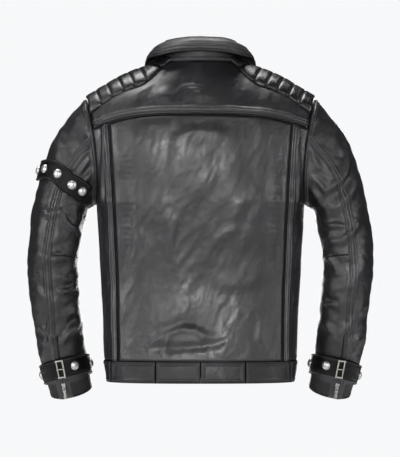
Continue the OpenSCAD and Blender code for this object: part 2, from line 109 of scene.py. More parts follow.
def through(points, at):
    """A smooth curve through (place, value) points, read at an array of places."""
    place = np.array([p[0] for p in points], float)
    value = np.array([np.atleast_1d(p[1]) for p in points], float)
    last = len(place) - 1
    at = np.clip(np.asarray(at, float), place[0], place[-1])
    i = np.clip(np.searchsorted(place, at, side="right") - 1, 0, last - 1)
    before, after = np.maximum(np.arange(last + 1) - 1, 0), np.minimum(np.arange(last + 1) + 1, last)
    slope = (value[after] - value[before]) / (place[after] - place[before])[:, None]
    step = (place[i + 1] - place[i])[..., None]
    u = (at - place[i])[..., None] / step
    out = ((2 * u**3 - 3 * u * u + 1) * value[i] + (u**3 - 2 * u * u + u) * step * slope[i]
           + (3 * u * u - 2 * u**3) * value[i + 1] + (u**3 - u * u) * step * slope[i + 1])
    return out[..., 0] if value.shape[1] == 1 else out


def mix(a, b, t):
    return a + (b - a) * t


def ease(t):
    c = np.clip(t, 0, 1)
    return c * c * (3 - 2 * c)


def bell(d, width):
    return np.exp(-((d / width) ** 2))


def mirror(mirrored):
    return np.array((-1, 1, 1) if mirrored else (1, 1, 1))


def unit(v):
    return v / np.maximum(np.linalg.norm(v, axis=-1, keepdims=True), 1e-9)


def armhole_x(z):
    c = np.clip((z - ARMHOLE_Z) / ARMHOLE_RISE, -1, 1)
    return 222.5 + 10.5 * c - 12 * (1 - c * c)


def half_width(z):
    return np.where(z < ARMPIT_Z, through(SIDE_LINE, z), armhole_x(z))


def armhole_half(z):
    c = np.clip((z - ARMHOLE_Z) / ARMHOLE_RISE, -1, 1)
    return np.where(z >= ARMHOLE_Z, ARMHOLE_DEPTH, ARMHOLE_DEPTH * np.sqrt(1 - c * c))


def ridge_z(x):
    """The shoulder's ridge, rounded at the middle so that the back has no crease there."""
    return through(RIDGE_LINE, np.sqrt(x * x + 24**2) - 24**2 / 2 / (np.abs(x) + 24))


def shoulder_arc(x, z):
    rise = np.clip((z - ARMHOLE_Z) / (ridge_z(x) - ARMHOLE_Z), 0, 1)
    return (1 - rise**ARC_POWER) ** (1 / ARC_POWER)


def skin_y(face, x, z):
    s = np.clip(np.abs(x) / half_width(z), 0, 1)
    # Away from the armhole its pull spreads out, so that no crease crosses the back at the armpits
    spread = np.mean([armhole_half(z + step) for step in np.linspace(-40, 40, 17)], axis=0)
    power = mix(1 / SQUARENESS, 0.9, ease((z - ARMPIT_Z) / 62))
    edge = MIDDLE_Y + face * mix(spread, armhole_half(z), s**8)
    front = MIDDLE_Y + (150 - 0.075 * (z + 85) - MIDDLE_Y) / np.maximum(shoulder_arc(0 * z, z), 1e-6)
    centre = np.where(face < 0, through(BACK_LINE, z), front)
    chest = np.where(face < 0, 0, 4 * s * s * (1 - s * s) * through(CHEST_LINE, z))
    flat = edge + (centre - edge) * (1 - s**SQUARENESS) ** power + chest
    return MIDDLE_Y + (flat - MIDDLE_Y) * shoulder_arc(x, z)


NAPE_Y = float(skin_y(-1, np.array(0.0), np.array(0.0)))


def skin(face, x, z):
    """The jacket's skin. face is -1 on the back and 1 on the front."""
    x, z, face = np.broadcast_arrays(np.asarray(x, float), np.asarray(z, float), face)
    return np.stack([x, skin_y(face, x, z) - NAPE_Y, z], -1)


def over_shoulder(face, x, angle):
    return skin(face, x, mix(ARMHOLE_Z, ridge_z(x), np.cos(angle) ** (2 / ARC_POWER)))


def angle_at(x, z):
    rise = np.clip((z - ARMHOLE_Z) / (ridge_z(x) - ARMHOLE_Z), 0, 1)
    return np.arccos(rise ** (ARC_POWER / 2))


def sleeve(w, angle):
    """The right sleeve's skin: w runs from the armhole at 0 to the cuff at 5, and angle, in
    degrees, from its outer side at 0 to its front at 90."""
    w, angle = np.broadcast_arrays(np.asarray(w, float), np.radians(np.asarray(angle, float)))
    hole_z = ARMHOLE_Z + ARMHOLE_RISE * np.cos(angle)
    hole = skin(np.where(np.sin(angle) < 0, -1, 1), armhole_x(hole_z), hole_z)
    outer, inner = through(OUTER_LINE, w), through(INNER_LINE, w)
    centre, reach = (outer + inner) / 2, (outer - inner) / 2
    depth = through(DEPTH_LINE, w) * np.sin(angle)
    ring = np.stack([centre[..., 0] + reach[..., 0] * np.cos(angle),
                     through(BEND_LINE, w) - NAPE_Y + depth,
                     centre[..., 1] + reach[..., 1] * np.cos(angle)
                     + through(TILT_LINE, w) * depth], -1)
    return mix(hole, ring, ease(w / 0.6)[..., None]) + np.array([SEAM_GAP, 0, 0])


# Relief: lumps, folds and stitched edges.
RANDOM = np.random.default_rng(11)
DIRECTIONS = unit(RANDOM.normal(size=(1024, 3)))


def noise(points, size, seed):
    """Smooth lumps from about -1 to 1. size is their length along x, y and z."""
    place = points / np.asarray(size, float) + seed * np.array([17.3, 9.1, 5.7])
    cell = np.floor(place).astype(np.int64)
    inside = place - cell
    blend = inside**3 * (inside * (inside * 6 - 15) + 10)
    total = np.zeros(points.shape[:-1])
    for corner in itertools.product((0, 1), repeat=3):
        at = cell + corner
        pick = (at[..., 0] * 73856093) ^ (at[..., 1] * 19349663) ^ (at[..., 2] * 83492791)
        share = np.prod(np.where(corner, blend, 1 - blend), axis=-1)
        total += share * np.sum(DIRECTIONS[pick & 1023] * (inside - corner), axis=-1)
    return 1.6 * total


def fold_height(points, normals, folds):
    """Soft folds that run through listed (x, z) points of the back or the front."""
    height = np.zeros(points.shape[:-1])
    flat = points[..., (0, 2)]
    for face, width, high, route in folds:
        line = through([(k, p) for k, p in enumerate(route)], np.linspace(0, len(route) - 1, 36))
        away = flat[..., None, :] - line
        nearest = np.argmin(np.sum(away**2, axis=-1), axis=-1)
        along = unit(np.gradient(line, axis=0))[nearest]
        off = flat - line[nearest]
        side = along[..., 0] * off[..., 1] - along[..., 1] * off[..., 0]
        reach = np.linalg.norm(off, axis=-1)
        taper = np.sin(np.pi * (nearest + 0.5) / 36) ** 0.7
        facing = ease(0.25 + 1.1 * face * normals[..., 1])
        ridge = bell(reach, width) - 0.55 * bell(reach, 2.6 * width) * bell(side - 1.9 * width, 1.2 * width)
        height += high * taper * facing * ridge
    return height


def spacing(length, step, low, high):
    """Places from 0 to 1, close together near an edge that is stitched (low, high)."""
    def run(stitched):
        places = [0.0]
        while places[-1] < length / 2:
            d = places[-1]
            near = 0.55 if stitched else 0.5
            grow = max(0.0, d - 13) * 0.2 if stitched else 0.4 * d
            places.append(d + min(step, near + grow))
        return np.array(places) / places[-1] * 0.5
    return np.concatenate([run(low), 1 - run(high)[-2::-1]])


# Heights of an edge at a distance from it: "over" is turned under and stitched on top of its
# neighbour, "under" goes beneath one, "butt" meets another side by side, and "hem" is a free edge.
STITCH_ROWS = {"over": (4.0, 11.0), "under": (), "butt": (3.4,), "hem": (3.6,), "plain": ()}


def edge_shape(kind, d):
    """(lift, cut) in millimetres at distances d from an edge."""
    groove = sum((bell(d - row, 1.1) for row in STITCH_ROWS[kind]), 0 * d)
    if kind == "over":
        puffed = 1.8 * (1 - ease((d - 12) / 7)) + 0.8 * bell(d - 7.5, 2.2)
        return puffed, -1.5 * groove - 2.2 * (1 - np.clip(d / 2.2, 0, 1)) ** 2
    if kind == "under":
        return 0 * d, -2.0 * (1 - ease(d / 9)) + 0.7 * bell(d - 15, 6)
    if kind == "butt":
        return 1.2 * (1 - ease((d - 5) / 6)), -1.1 * groove - 3.4 * (1 - np.clip(d / 4.0, 0, 1)) ** 2
    if kind == "hem":
        return 0.9 * (1 - ease((d - 6) / 5)), -1.1 * groove - 1.6 * (1 - np.clip(d / 2.4, 0, 1)) ** 2
    return 0 * d, 0 * d


def normals_of(grid, closed=False):
    """Outward normals of a grid whose rows run up and whose columns run to the right."""
    if closed:
        across = np.roll(grid, -1, 1) - np.roll(grid, 1, 1)
    else:
        across = np.gradient(grid, axis=1)
    return unit(np.cross(across, np.gradient(grid, axis=0)))


def distances(grid):
    """How far each point is from the low, high, left and right edges."""
    across = np.linalg.norm(np.diff(grid, axis=1), axis=-1).cumsum(1)
    across = np.pad(across, ((0, 0), (1, 0)))
    up = np.linalg.norm(np.diff(grid, axis=0), axis=-1).cumsum(0)
    up = np.pad(up, ((1, 0), (0, 0)))
    return {"low": up, "high": up[-1:] - up, "left": across, "right": across[:, -1:] - across}


# Meshes from grids.
def quads(rows, columns, closed, start=0):
    i, j = np.meshgrid(np.arange(rows - 1), np.arange(columns if closed else columns - 1), indexing="ij")
    k = (j + 1) % columns
    faces = np.stack([i * columns + j, i * columns + k, (i + 1) * columns + k, (i + 1) * columns + j], -1)
    return faces.reshape(-1, 4) + start


def rim(rows, columns, closed):
    """Faces that close a wall between an outer grid and the inner grid that follows it."""
    k = rows * columns
    j = np.arange(columns if closed else columns - 1)
    n = (j + 1) % columns
    low = np.stack([j, j + k, n + k, n], -1)
    top = (rows - 1) * columns
    high = np.stack([top + j, top + n, top + n + k, top + j + k], -1)
    if closed:
        return np.concatenate([low, high])
    i = np.arange(rows - 1) * columns
    left = np.stack([i, i + columns, i + columns + k, i + k], -1)
    e = i + columns - 1
    right = np.stack([e, e + k, e + columns + k, e + columns], -1)
    return np.concatenate([low, high, left, right])


def new_mesh(name, points, faces, kinds, materials, mirrored=False, wear_and_painted_light=None, normals=None):
    """An object with its place in its mesh. faces hold four corners, or three and a -1."""
    points = np.asarray(points, float).reshape(-1, 3) * MM
    if mirrored:
        points = points * (-1, 1, 1)
    mesh = bpy.data.meshes.new(name)
    corners = np.asarray(faces)
    if mirrored:
        corners = np.where((corners[:, 3:] < 0), corners[:, (2, 1, 0, 3)], corners[:, ::-1])
    sizes = np.where(corners[:, 3] < 0, 3, 4)
    loops = corners[corners >= 0]
    mesh.vertices.add(len(points))
    mesh.vertices.foreach_set("co", points.astype(np.float32).ravel())
    mesh.loops.add(len(loops))
    mesh.loops.foreach_set("vertex_index", loops.astype(np.int32))
    mesh.polygons.add(len(sizes))
    mesh.polygons.foreach_set("loop_start", np.concatenate([[0], np.cumsum(sizes)[:-1]]).astype(np.int32))
    mesh.polygons.foreach_set("material_index", np.broadcast_to(kinds, len(sizes)).astype(np.int32))
    for material in materials:
        mesh.materials.append(material)
    mesh.update(calc_edges=True)
    mesh.shade_smooth()
    # A colour attribute for the leather: rubbed seams and edges, with painted sheen on fold ridges and
    # painted shade in grooves and hollows.
    attribute = mesh.attributes.new("wear_and_painted_light", "FLOAT", "POINT")
    values = np.zeros(len(points)) if wear_and_painted_light is None else np.asarray(wear_and_painted_light, float).ravel()
    attribute.data.foreach_set("value", values.astype(np.float32))
    if normals is not None:
        flipped = np.asarray(normals, float).reshape(-1, 3) * ((-1, 1, 1) if mirrored else (1, 1, 1))
        mesh.normals_split_custom_set_from_vertices(flipped.tolist())
    piece = bpy.data.objects.new(name, mesh)
    bpy.context.scene.collection.objects.link(piece)
    return piece


def wall(name, outer, inner, materials, closed=False, mirrored=False, wear_and_painted_light=None, normals=None):
    """A closed wall between two grids. The first material is outside and the second inside."""
    rows, columns = outer.shape[:2]
    front = quads(rows, columns, closed)
    back = quads(rows, columns, closed, rows * columns)[:, ::-1]
    edge = rim(rows, columns, closed)
    kinds = np.repeat([0, 1, 0], [len(front), len(back), len(edge)])
    points = np.concatenate([outer.reshape(-1, 3), inner.reshape(-1, 3)])
    if wear_and_painted_light is not None:
        wear_and_painted_light = np.concatenate([wear_and_painted_light.ravel(), 0 * wear_and_painted_light.ravel()])
    if normals is not None:
        normals = np.concatenate([normals.reshape(-1, 3), -normals.reshape(-1, 3)])
    faces = np.concatenate([front, back, edge])
    return new_mesh(name, points, faces, kinds, materials, mirrored, wear_and_painted_light, normals)


class Stitching:
    """Rows of stitches, gathered while the leather is made and sewn as one piece per body."""
    rows = {}

    @classmethod
    def add(cls, where, line, normals, mirrored=False):
        flip = mirror(mirrored)
        cls.rows.setdefault(where, []).append((line * flip, normals * flip))


def stitch_mesh(name, rows, material):
    """One short thread lens per stitch along each row, sunk halfway into its groove."""
    look = settings().leather
    pitch, length = look.stitch_pitch / MM, look.stitch_length / MM
    turns = np.radians([90, 162, 234, 306, 18])
    ring = np.stack([np.cos(turns), np.sin(turns)], -1) * look.thread / MM / 2
    stations, girths = np.array([-0.5, -0.28, 0.28, 0.5]) * length, (0.35, 1, 1, 0.35)
    local = np.concatenate([np.concatenate([np.full((5, 1), x), ring * g], 1)
                            for x, g in zip(stations, girths)])
    shape = [(r * 5 + k, (r + 1) * 5 + k, (r + 1) * 5 + (k + 1) % 5, r * 5 + (k + 1) % 5)
             for r in range(3) for k in range(5)]
    caps = [(0, k, k + 1, -1) for k in range(1, 4)] + [(15, 15 + k + 1, 15 + k, -1) for k in range(1, 4)]
    shape = np.array(shape + caps)
    points, faces = [], []
    for line, normals in rows:
        steps = np.linalg.norm(np.diff(line, axis=0), axis=-1)
        run = np.concatenate([[0], np.cumsum(steps)])
        count = int((run[-1] - pitch) // pitch)
        if count < 1:
            continue
        at = (np.arange(count) + 0.5) * run[-1] / count
        middle = np.stack([np.interp(at, run, line[:, k]) for k in range(3)], -1)
        ahead = np.stack([np.interp(at + 0.6, run, line[:, k]) for k in range(3)], -1)
        behind = np.stack([np.interp(at - 0.6, run, line[:, k]) for k in range(3)], -1)
        out = unit(np.stack([np.interp(at, run, normals[:, k]) for k in range(3)], -1))
        along = unit(ahead - behind)
        beside = unit(np.cross(out, along))
        up = np.cross(along, beside)
        frames = np.stack([along, beside, up], 1)
        made = middle[:, None, :] + np.einsum("pk,nkd->npd", local, frames)
        for stitch in made:
            faces.append(shape + np.where(shape < 0, 0, 20 * len(points)))
            points.append(stitch)
    return new_mesh(name, np.concatenate(points), np.concatenate(faces), 0, [material])


def settings():
    return bpy.context.scene.riding_jacket


def material(name):
    return bpy.data.materials.get(name) or MATERIALS[name](name)


def body_relief(points):
    """Broad, soft lumps of leather that hangs on nothing."""
    depth = settings().leather.relief / MM
    lean = points[..., 0] - 0.35 * points[..., 2]
    slanted = np.stack([lean, points[..., 1], points[..., 2]], -1)
    return depth * (1.7 * noise(slanted, (120, 120, 150), 1) + 0.95 * noise(slanted, (40, 60, 70), 2)
                    + 0.36 * noise(slanted, (15, 30, 34), 3) + 0.16 * noise(slanted, (8, 9, 13), 4))


def pucker(points, near):
    """The small ripples that stitching pulls into leather beside a seam."""
    return 0.22 * noise(points, (9, 9, 9), 6) * near


BODY_FOLDS = (
    (-1, 5, 4.0, ((-203, -112), (-194, -130), (-192, -170), (-199, -232), (-201, -300))),
    (-1, 6, 3.4, ((206, -142), (196, -176), (199, -250), (191, -322))),
    (-1, 13, -3.4, ((-152, -110), (-148, -240), (-150, -380), (-158, -470))),
    (-1, 13, -3.0, ((154, -120), (150, -240), (152, -380), (158, -470))),
    (-1, 11, 2.4, ((-188, -380), (-182, -420), (-186, -470))),
    (-1, 12, 2.4, ((186, -370), (180, -412), (184, -470))),
    (-1, 9, 3.2, ((-96, -566), (-52, -548), (-18, -544), (30, -566))),
    (-1, 9, -3.0, ((-108, -584), (-50, -580), (10, -576), (66, -562))),
    (-1, 6, 2.8, ((-66, -556), (-70, -576), (-76, -600))),
    (-1, 16, 2.6, ((-10, -470), (-52, -512), (-96, -540))),
    (-1, 15, 2.2, ((150, -420), (86, -452), (22, -440))),
    (-1, 14, 2.4, ((-70, -300), (-58, -350), (-64, -410))),
    (-1, 9, 1.8, ((-106, -350), (-112, -410), (-120, -470))),
    (-1, 13, 2.2, ((120, -262), (76, -300), (58, -356))),
    (-1, 10, 2.2, ((-60, -170), (-28, -150), (20, -146), (60, -160))),
    (-1, 10, 1.8, ((20, -380), (50, -352), (90, -340))),
    (-1, 8, 2.2, ((132, -590), (120, -556), (124, -520))),
    (-1, 3.5, 2.0, ((-40, -58), (-18, -54), (4, -57))),
    (-1, 3.5, -1.6, ((-36, -63), (-16, -60), (4, -62))),
    (-1, 12, 2.6, ((-90, -84), (-74, -74), (-58, -84))),
    (-1, 14, 2.6, ((-30, -76), (4, -70), (34, -78))),
    (1, 12, 2.4, ((196, -250), (150, -300), (112, -368))),
    (1, 12, 2.2, ((-196, -262), (-146, -318), (-110, -380))),
    (1, 14, 1.8, ((184, -560), (120, -520), (60, -540))),
    (1, 14, 1.8, ((-184, -556), (-124, -516), (-52, -536))),
)


def leather_sheet(name, body, nodes, grid, edges, mirrored=False, thick=LEATHER, proud=0.0,
                  relief=1.0, stuff="Body leather"):
    """One leather panel over the skin: relief, shaped edges, and its rows of stitches."""
    normals = normals_of(grid)
    flip = mirror(mirrored)
    far = distances(grid)
    sway = relief * (body_relief(grid * flip)
                     + fold_height(grid * flip, normals * flip, BODY_FOLDS))
    calm = np.min([ease(far[side] / 26) for side in edges], axis=0)
    shaped = [edge_shape(kind, far[side]) for side, kind in edges.items()]
    lift = np.max([part[0] for part in shaped], axis=0)
    cut = np.min([part[1] for part in shaped], axis=0)
    near = np.max([bell(far[side] - 7, 8) for side, kind in edges.items() if kind != "plain"]
                  or [0 * far["low"]], axis=0)
    base = proud + sway * (0.25 + 0.75 * calm)
    outer = grid + normals * (base + lift + cut + pucker(grid * flip, near))[..., None]
    inner = grid + normals * (base - thick)[..., None]
    # Paler near seams and on raised edges as rubbed leather; fold ridges paler and fold hollows darker as
    # painted sheen and painted shade; seam and stitch grooves darker as painted shade.
    wear_and_painted_light = np.clip(near * 0.3 + 0.25 * lift + 0.09 * sway + 0.7 * cut, -1, 1)
    piece = wall(name, outer, inner, [material(stuff), material("Suede side")], mirrored=mirrored,
                 wear_and_painted_light=wear_and_painted_light)
    for side, kind in edges.items():
        for row in STITCH_ROWS[kind]:
            line, out = line_at(outer, normals, far, side, row)
            Stitching.add(body, line + 0.12 * out, out, mirrored)
    finish_leather(piece, body, nodes)
    return piece


def line_at(outer, normals, far, side, row):
    """The line on a grid that keeps a distance from one of its edges, clear of the corners."""
    away = far[side]
    columns = side in ("left", "right")
    count = away.shape[0] if columns else away.shape[1]
    line, out = [], []
    for k in range(count):
        d, p, n = (away[k], outer[k], normals[k]) if columns else (away[:, k], outer[:, k], normals[:, k])
        order = slice(None) if d[0] < d[-1] else slice(None, None, -1)
        line.append([np.interp(row, d[order], p[order, a]) for a in range(3)])
        out.append([np.interp(row, d[order], n[order, a]) for a in range(3)])
    line, out = np.array(line), unit(np.array(out))
    run = np.concatenate([[0], np.cumsum(np.linalg.norm(np.diff(line, axis=0), axis=-1))])
    kept = (run > row) & (run < run[-1] - row)
    return line[kept], out[kept]


def finish_leather(piece, body, nodes):
    if isinstance(body, str):
        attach(piece, body)
    if nodes:
        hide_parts(*nodes)


# Body panels
# How far the panels run down behind the waistband
TUCK = 4


def side_seam(v):
    """The side seams come a little closer together from the yoke down to the waistband."""
    return SIDE_SEAM_X + mix(-9, 9, v**2)


def make_back_panel():
    u, v = spacing(2 * SIDE_SEAM_X, 2.6, True, True), spacing(480, 2.6, True, True)[:, None]
    edge = side_seam(v) - SEAM_GAP / 2
    x = mix(-edge, edge, u)
    top = through(YOKE_LINE, np.abs(x)) - SEAM_GAP / 2
    grid = skin(-1, x, mix(BAND_Z - TUCK, top, v))
    leather_sheet("back_leather", "jacket", ["back_panel"], grid,
                  {"low": "under", "high": "under", "left": "under", "right": "under"})


# Half the body's width at the yoke, the front's top, the lining's top and the chest
YOKE_HALF, FRONT_HALF, LINING_HALF, CHEST_HALF = 217, 221, 214, 212


def make_yoke():
    u, v = spacing(434, 3, True, True), spacing(90, 3, True, True)[:, None]
    across = 2 * u - 1
    low = through(YOKE_LINE, np.abs(YOKE_HALF * across)) + SEAM_GAP / 2
    high = through(PAD_LINE, np.abs(YOKE_HALF * across)) - SEAM_GAP / 2
    z = mix(low, high, v)
    grid = skin(-1, across * (half_width(z) - SEAM_GAP), z)
    leather_sheet("yoke_leather", "jacket", ["back_yoke"], grid,
                  {"low": "over", "high": "under", "left": "under", "right": "under"})


def make_back_side(side, sign):
    u, v = spacing(60, 2.2, True, False), spacing(480, 3, True, True)[:, None]
    seam_x = side_seam(v) + SEAM_GAP / 2
    top_x = YOKE_HALF * np.sin(mix(np.arcsin(seam_x / YOKE_HALF), HALF_ROUND, u))
    z = mix(BAND_Z - TUCK, through(YOKE_LINE, top_x) - SEAM_GAP / 2, v)
    width = half_width(z) - np.where(z > ARMPIT_Z, SEAM_GAP, 0)
    grid = skin(-1, width * np.sin(mix(np.arcsin(seam_x / width), HALF_ROUND, u)), z)
    leather_sheet(f"{side}_back_side_leather", "jacket", [f"{side}_back_side_panel"],
                  grid, {"low": "under", "high": "under", "left": "over", "right": "plain"}, sign < 0)


def make_front(side, sign):
    u, v = spacing(230, 3.2, False, True), spacing(500, 3.2, True, True)[:, None]
    angle = mix(HALF_ROUND, math.asin(FRONT_EDGE_X / CHEST_HALF), u)
    z = mix(BAND_Z - TUCK, through(FRONT_TOP_LINE, FRONT_HALF * np.sin(angle)) - SEAM_GAP / 2, v)
    width = half_width(z) - np.where(z > ARMPIT_Z, SEAM_GAP, 0)
    grid = skin(1, np.maximum(FRONT_EDGE_X, width * np.sin(angle)), z)
    leather_sheet(f"{side}_front_leather", "jacket", [f"{side}_front_panel"], grid,
                  {"low": "under", "high": "under", "left": "plain", "right": "over"}, sign < 0)


# Quilted shoulder pads
# Where the quilting's grooves meet the shoulder's ridge and the pad's front and back seams
RIDGE_STOPS = (78, 99, 125, 147, 169, 190, 211, 231)
SEAM_STOPS = (52, 76, 107, 131, 153, 176, 198, 222)


def make_pad(side, sign):
    ribs, per_rib = len(RIDGE_STOPS) - 1, 24
    u = np.linspace(0, 1, ribs * per_rib + 1)
    across = np.sign(np.linspace(-1, 1, 121)) * np.abs(np.linspace(-1, 1, 121)) ** 0.92
    v = across[:, None]
    stops = np.interp(u * ribs, np.arange(ribs + 1), RIDGE_STOPS)
    x = mix(stops, np.interp(u * ribs, np.arange(ribs + 1), SEAM_STOPS), np.abs(v) ** 1.1)
    low = through(PAD_LINE, x) + SEAM_GAP / 2
    face = np.where(v < 0, -1, 1) + 0 * x
    grid = over_shoulder(face, x, np.abs(v) * angle_at(x, low))
    normals = normals_of(grid)
    rib = np.abs(np.sin(np.pi * ribs * u))
    # Each rib is a stuffed roll: full and round between two sewn grooves
    roll = (1 - (1 - rib) ** 2.8) ** 0.5
    flip = mirror(sign < 0)
    puff = 1 + 0.16 * noise(grid * flip, (26, 40, 40), 8)
    fullness = (1 - np.abs(v) ** 6) * mix(1.0, 0.72, np.cos(v * math.pi / 2))
    near_ridge = bell(np.abs(v), 0.3)
    lift = 1.6 + settings().leather.pad_height / MM * (fullness * roll * puff * (1 - 0.6 * near_ridge)
                                                       + 0.4 * near_ridge)
    crumple = 0.5 * noise(grid * flip, (7, 12, 12), 9) * bell(rib, 0.75) * fullness
    crumple += 0.35 * noise(grid * flip, (15, 22, 22), 10)
    edge = -1.2 * bell((1 - np.abs(v)) * 80, 3)
    outer = grid + normals * (lift + crumple + edge)[..., None]
    # The pad's colour attribute paints a highlight on each rib's top, and painted shade in the sewn grooves
    # and along the pad's edges.
    piece = wall(f"{side}_shoulder_quilting", outer, grid + 0.3 * normals,
                 [material("Quilted leather"), material("Suede side")], mirrored=sign < 0,
                 wear_and_painted_light=np.clip(1.1 * roll * fullness - 1.1 * bell(rib, 0.3) + edge, -1, 1))
    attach(piece, "jacket")
    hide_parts(f"{side}_shoulder_pad")
    for k in range(1, ribs):
        column = k * per_rib
        Stitching.add("jacket", outer[4:-4, column] + 0.25 * normals[4:-4, column],
                      normals[4:-4, column], sign < 0)


# Collar
def neck(angle):
    place = through(NECK_LINE, np.abs(angle))
    found = skin(np.where(np.abs(angle) < 90, -1, 1), place[..., 0], place[..., 1])
    found[..., 0] *= np.sign(angle)
    return found


def collar_fold(angle, radius):
    turn = np.radians(angle)
    height = through(FOLD_LINE, np.abs(angle))
    return np.stack([radius * np.sin(turn), 76 - radius * np.cos(turn), height], -1)


def fall_edge(angle):
    place = through(FALL_LINE, np.abs(angle))
    place[..., 0] *= np.sign(angle)
    return place


COLLAR_END = 168


def make_collar_stand():
    angle = mix(-COLLAR_END, COLLAR_END, spacing(430, 3, True, True))
    v = spacing(45, 2.5, True, False)[:, None]
    level = np.stack([np.sin(np.radians(angle)), -np.cos(np.radians(angle)), 0 * angle], -1)
    low, high = neck(angle) + 0.8 * level - (0, 0, 3.5), collar_fold(angle, 74) - (0, 0, 3)
    grid = mix(low[None], high[None], v[..., None])
    leather_sheet("collar_stand_leather", "jacket", ["collar_stand"], grid,
                  {"low": "butt", "high": "plain", "left": "hem", "right": "hem"}, thick=2.4,
                  proud=1.8, relief=0.3, stuff="Collar leather")


def make_collar_fall():
    """The fall runs up from its lower edge and rolls over the fold, down inside the stand."""
    angle = mix(-COLLAR_END, COLLAR_END, spacing(520, 3, True, True))
    v = spacing(70, 2.5, True, False)[:, None]
    turn = np.radians(angle)
    out = np.stack([np.sin(turn), -np.cos(turn), 0.5 + 0 * turn], -1)
    bulge = 7 * np.sin(np.pi * v**1.3)
    fold = collar_fold(angle, 77.5)
    fall = mix(fall_edge(angle)[None], fold[None], v[..., None]) + bulge[..., None] * out[None]
    level = out * (1, 1, 0)
    bend = np.radians(np.arange(12, 181, 12))[:, None, None]
    roll_r = 2.4
    roll = fold + level * roll_r * (np.cos(bend) - 1) + np.array([0, 0, roll_r]) * np.sin(bend)
    down = np.arange(2, 13, 2)[:, None, None]
    inside = fold - level * 2 * roll_r - np.array([0, 0, 1.0]) * down
    grid = np.concatenate([fall, roll, inside])
    leather_sheet("collar_fall_leather", "jacket", ["collar_fall"], grid,
                  {"low": "over", "high": "plain", "left": "over", "right": "over"}, thick=1.9,
                  proud=0.6, relief=0.55, stuff="Collar leather")


# Lining
def make_lining():
    inside, inset = LEATHER + 2.5, 2.5
    u, v = np.linspace(-1, 1, 121), np.linspace(0, 1, 121)[:, None]
    angle = np.radians(89.5) * u
    z = mix(BAND_Z + 3, through(LINING_LINE, LINING_HALF * np.abs(np.sin(angle))), v)
    back = skin(-1, (half_width(z) - inset) * np.sin(angle), z)
    angle = mix(np.radians(89.5), math.asin(30 / CHEST_HALF), np.linspace(0, 1, 61))
    x = LINING_HALF * np.sin(angle)
    top = np.minimum(through(LINING_LINE, x), through(FRONT_TOP_LINE, x) - 12)
    z = mix(BAND_Z + 3, top, v)
    front = skin(1, (half_width(z) - inset) * np.sin(angle), z)
    for name, grid, mirrored in (("back_lining", back, False), ("right_front_lining", front, False),
                                 ("left_front_lining", front, True)):
        normals = normals_of(grid)
        ripple = 0.5 * noise(grid, (24, 40, 70), 12) + 0.25 * noise(grid, (9, 20, 30), 13)
        outer = grid + normals * (ripple - inside)[..., None]
        piece = wall(name, outer, outer - normals, [material("Lining")] * 2, mirrored=mirrored)
        finish_leather(piece, "jacket", ["body_lining"] if name == "back_lining" else [])


def make_hang_loop():
    """A folded leather strip that arches off the neck seam, with a stitched edge on each side."""
    turn = np.radians(np.linspace(14, 166, 49))
    radius = 21.8
    v = np.linspace(-3, 3, 13)
    edge = 0.35 * np.abs(v / 3) ** 8
    rows = []
    for k, height in enumerate(v):
        r = radius - edge[k]
        rows.append(np.stack([r * np.cos(turn), r * np.sin(turn) - 1, 0 * turn - 16 + height], -1))
    grid = np.array(rows)[:, ::-1]
    normals = normals_of(grid)
    piece = wall("hanging_loop", grid, grid - 1.4 * normals, [material("Strap leather")] * 2)
    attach(piece, "jacket")
    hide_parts("hang_loop")
    for row in (2, 10):
        Stitching.add("jacket", grid[row] + 0.1 * normals[row], normals[row])


# Waistband
HEIGHT_OF_BAND = BAND_Z - HEM_Z


def make_band_back(name, node, from_x, to_x):
    u, v = spacing(BAND_PANEL, 2.2, True, True), spacing(HEIGHT_OF_BAND, 2, True, True)[:, None]
    x = mix(from_x + 0.05, to_x - 0.05, u)
    grid = skin(-1, np.broadcast_to(x, (len(v), len(u))), mix(HEM_Z, BAND_Z - SEAM_GAP, v) + 0 * x)
    leather_sheet(name, "jacket", [node], grid,
                  {"low": "hem", "high": "butt", "left": "butt", "right": "butt"}, thick=BAND_THICK,
                  proud=BAND_PROUD, relief=0.35, stuff="Waistband leather")


def make_band_front(side, sign):
    u, v = spacing(330, 2.4, True, True), spacing(HEIGHT_OF_BAND, 2, True, True)[:, None]
    z = mix(HEM_Z, BAND_Z - SEAM_GAP, v)
    width = half_width(z)
    start = np.arcsin((2 * BAND_PANEL + SEAM_GAP / 2) / width)
    end = np.pi - np.arcsin((FRONT_EDGE_X + 1) / width)
    angle = mix(start, end, u)
    grid = skin(np.where(angle < np.pi / 2, -1, 1), width * np.sin(angle), z + 0 * angle)
    leather_sheet(f"{side}_waistband_leather", "jacket",
                  [f"{side}_waistband_front"], grid,
                  {"low": "hem", "high": "butt", "left": "butt", "right": "hem"}, sign < 0,
                  BAND_THICK, BAND_PROUD, 0.35, "Waistband leather")


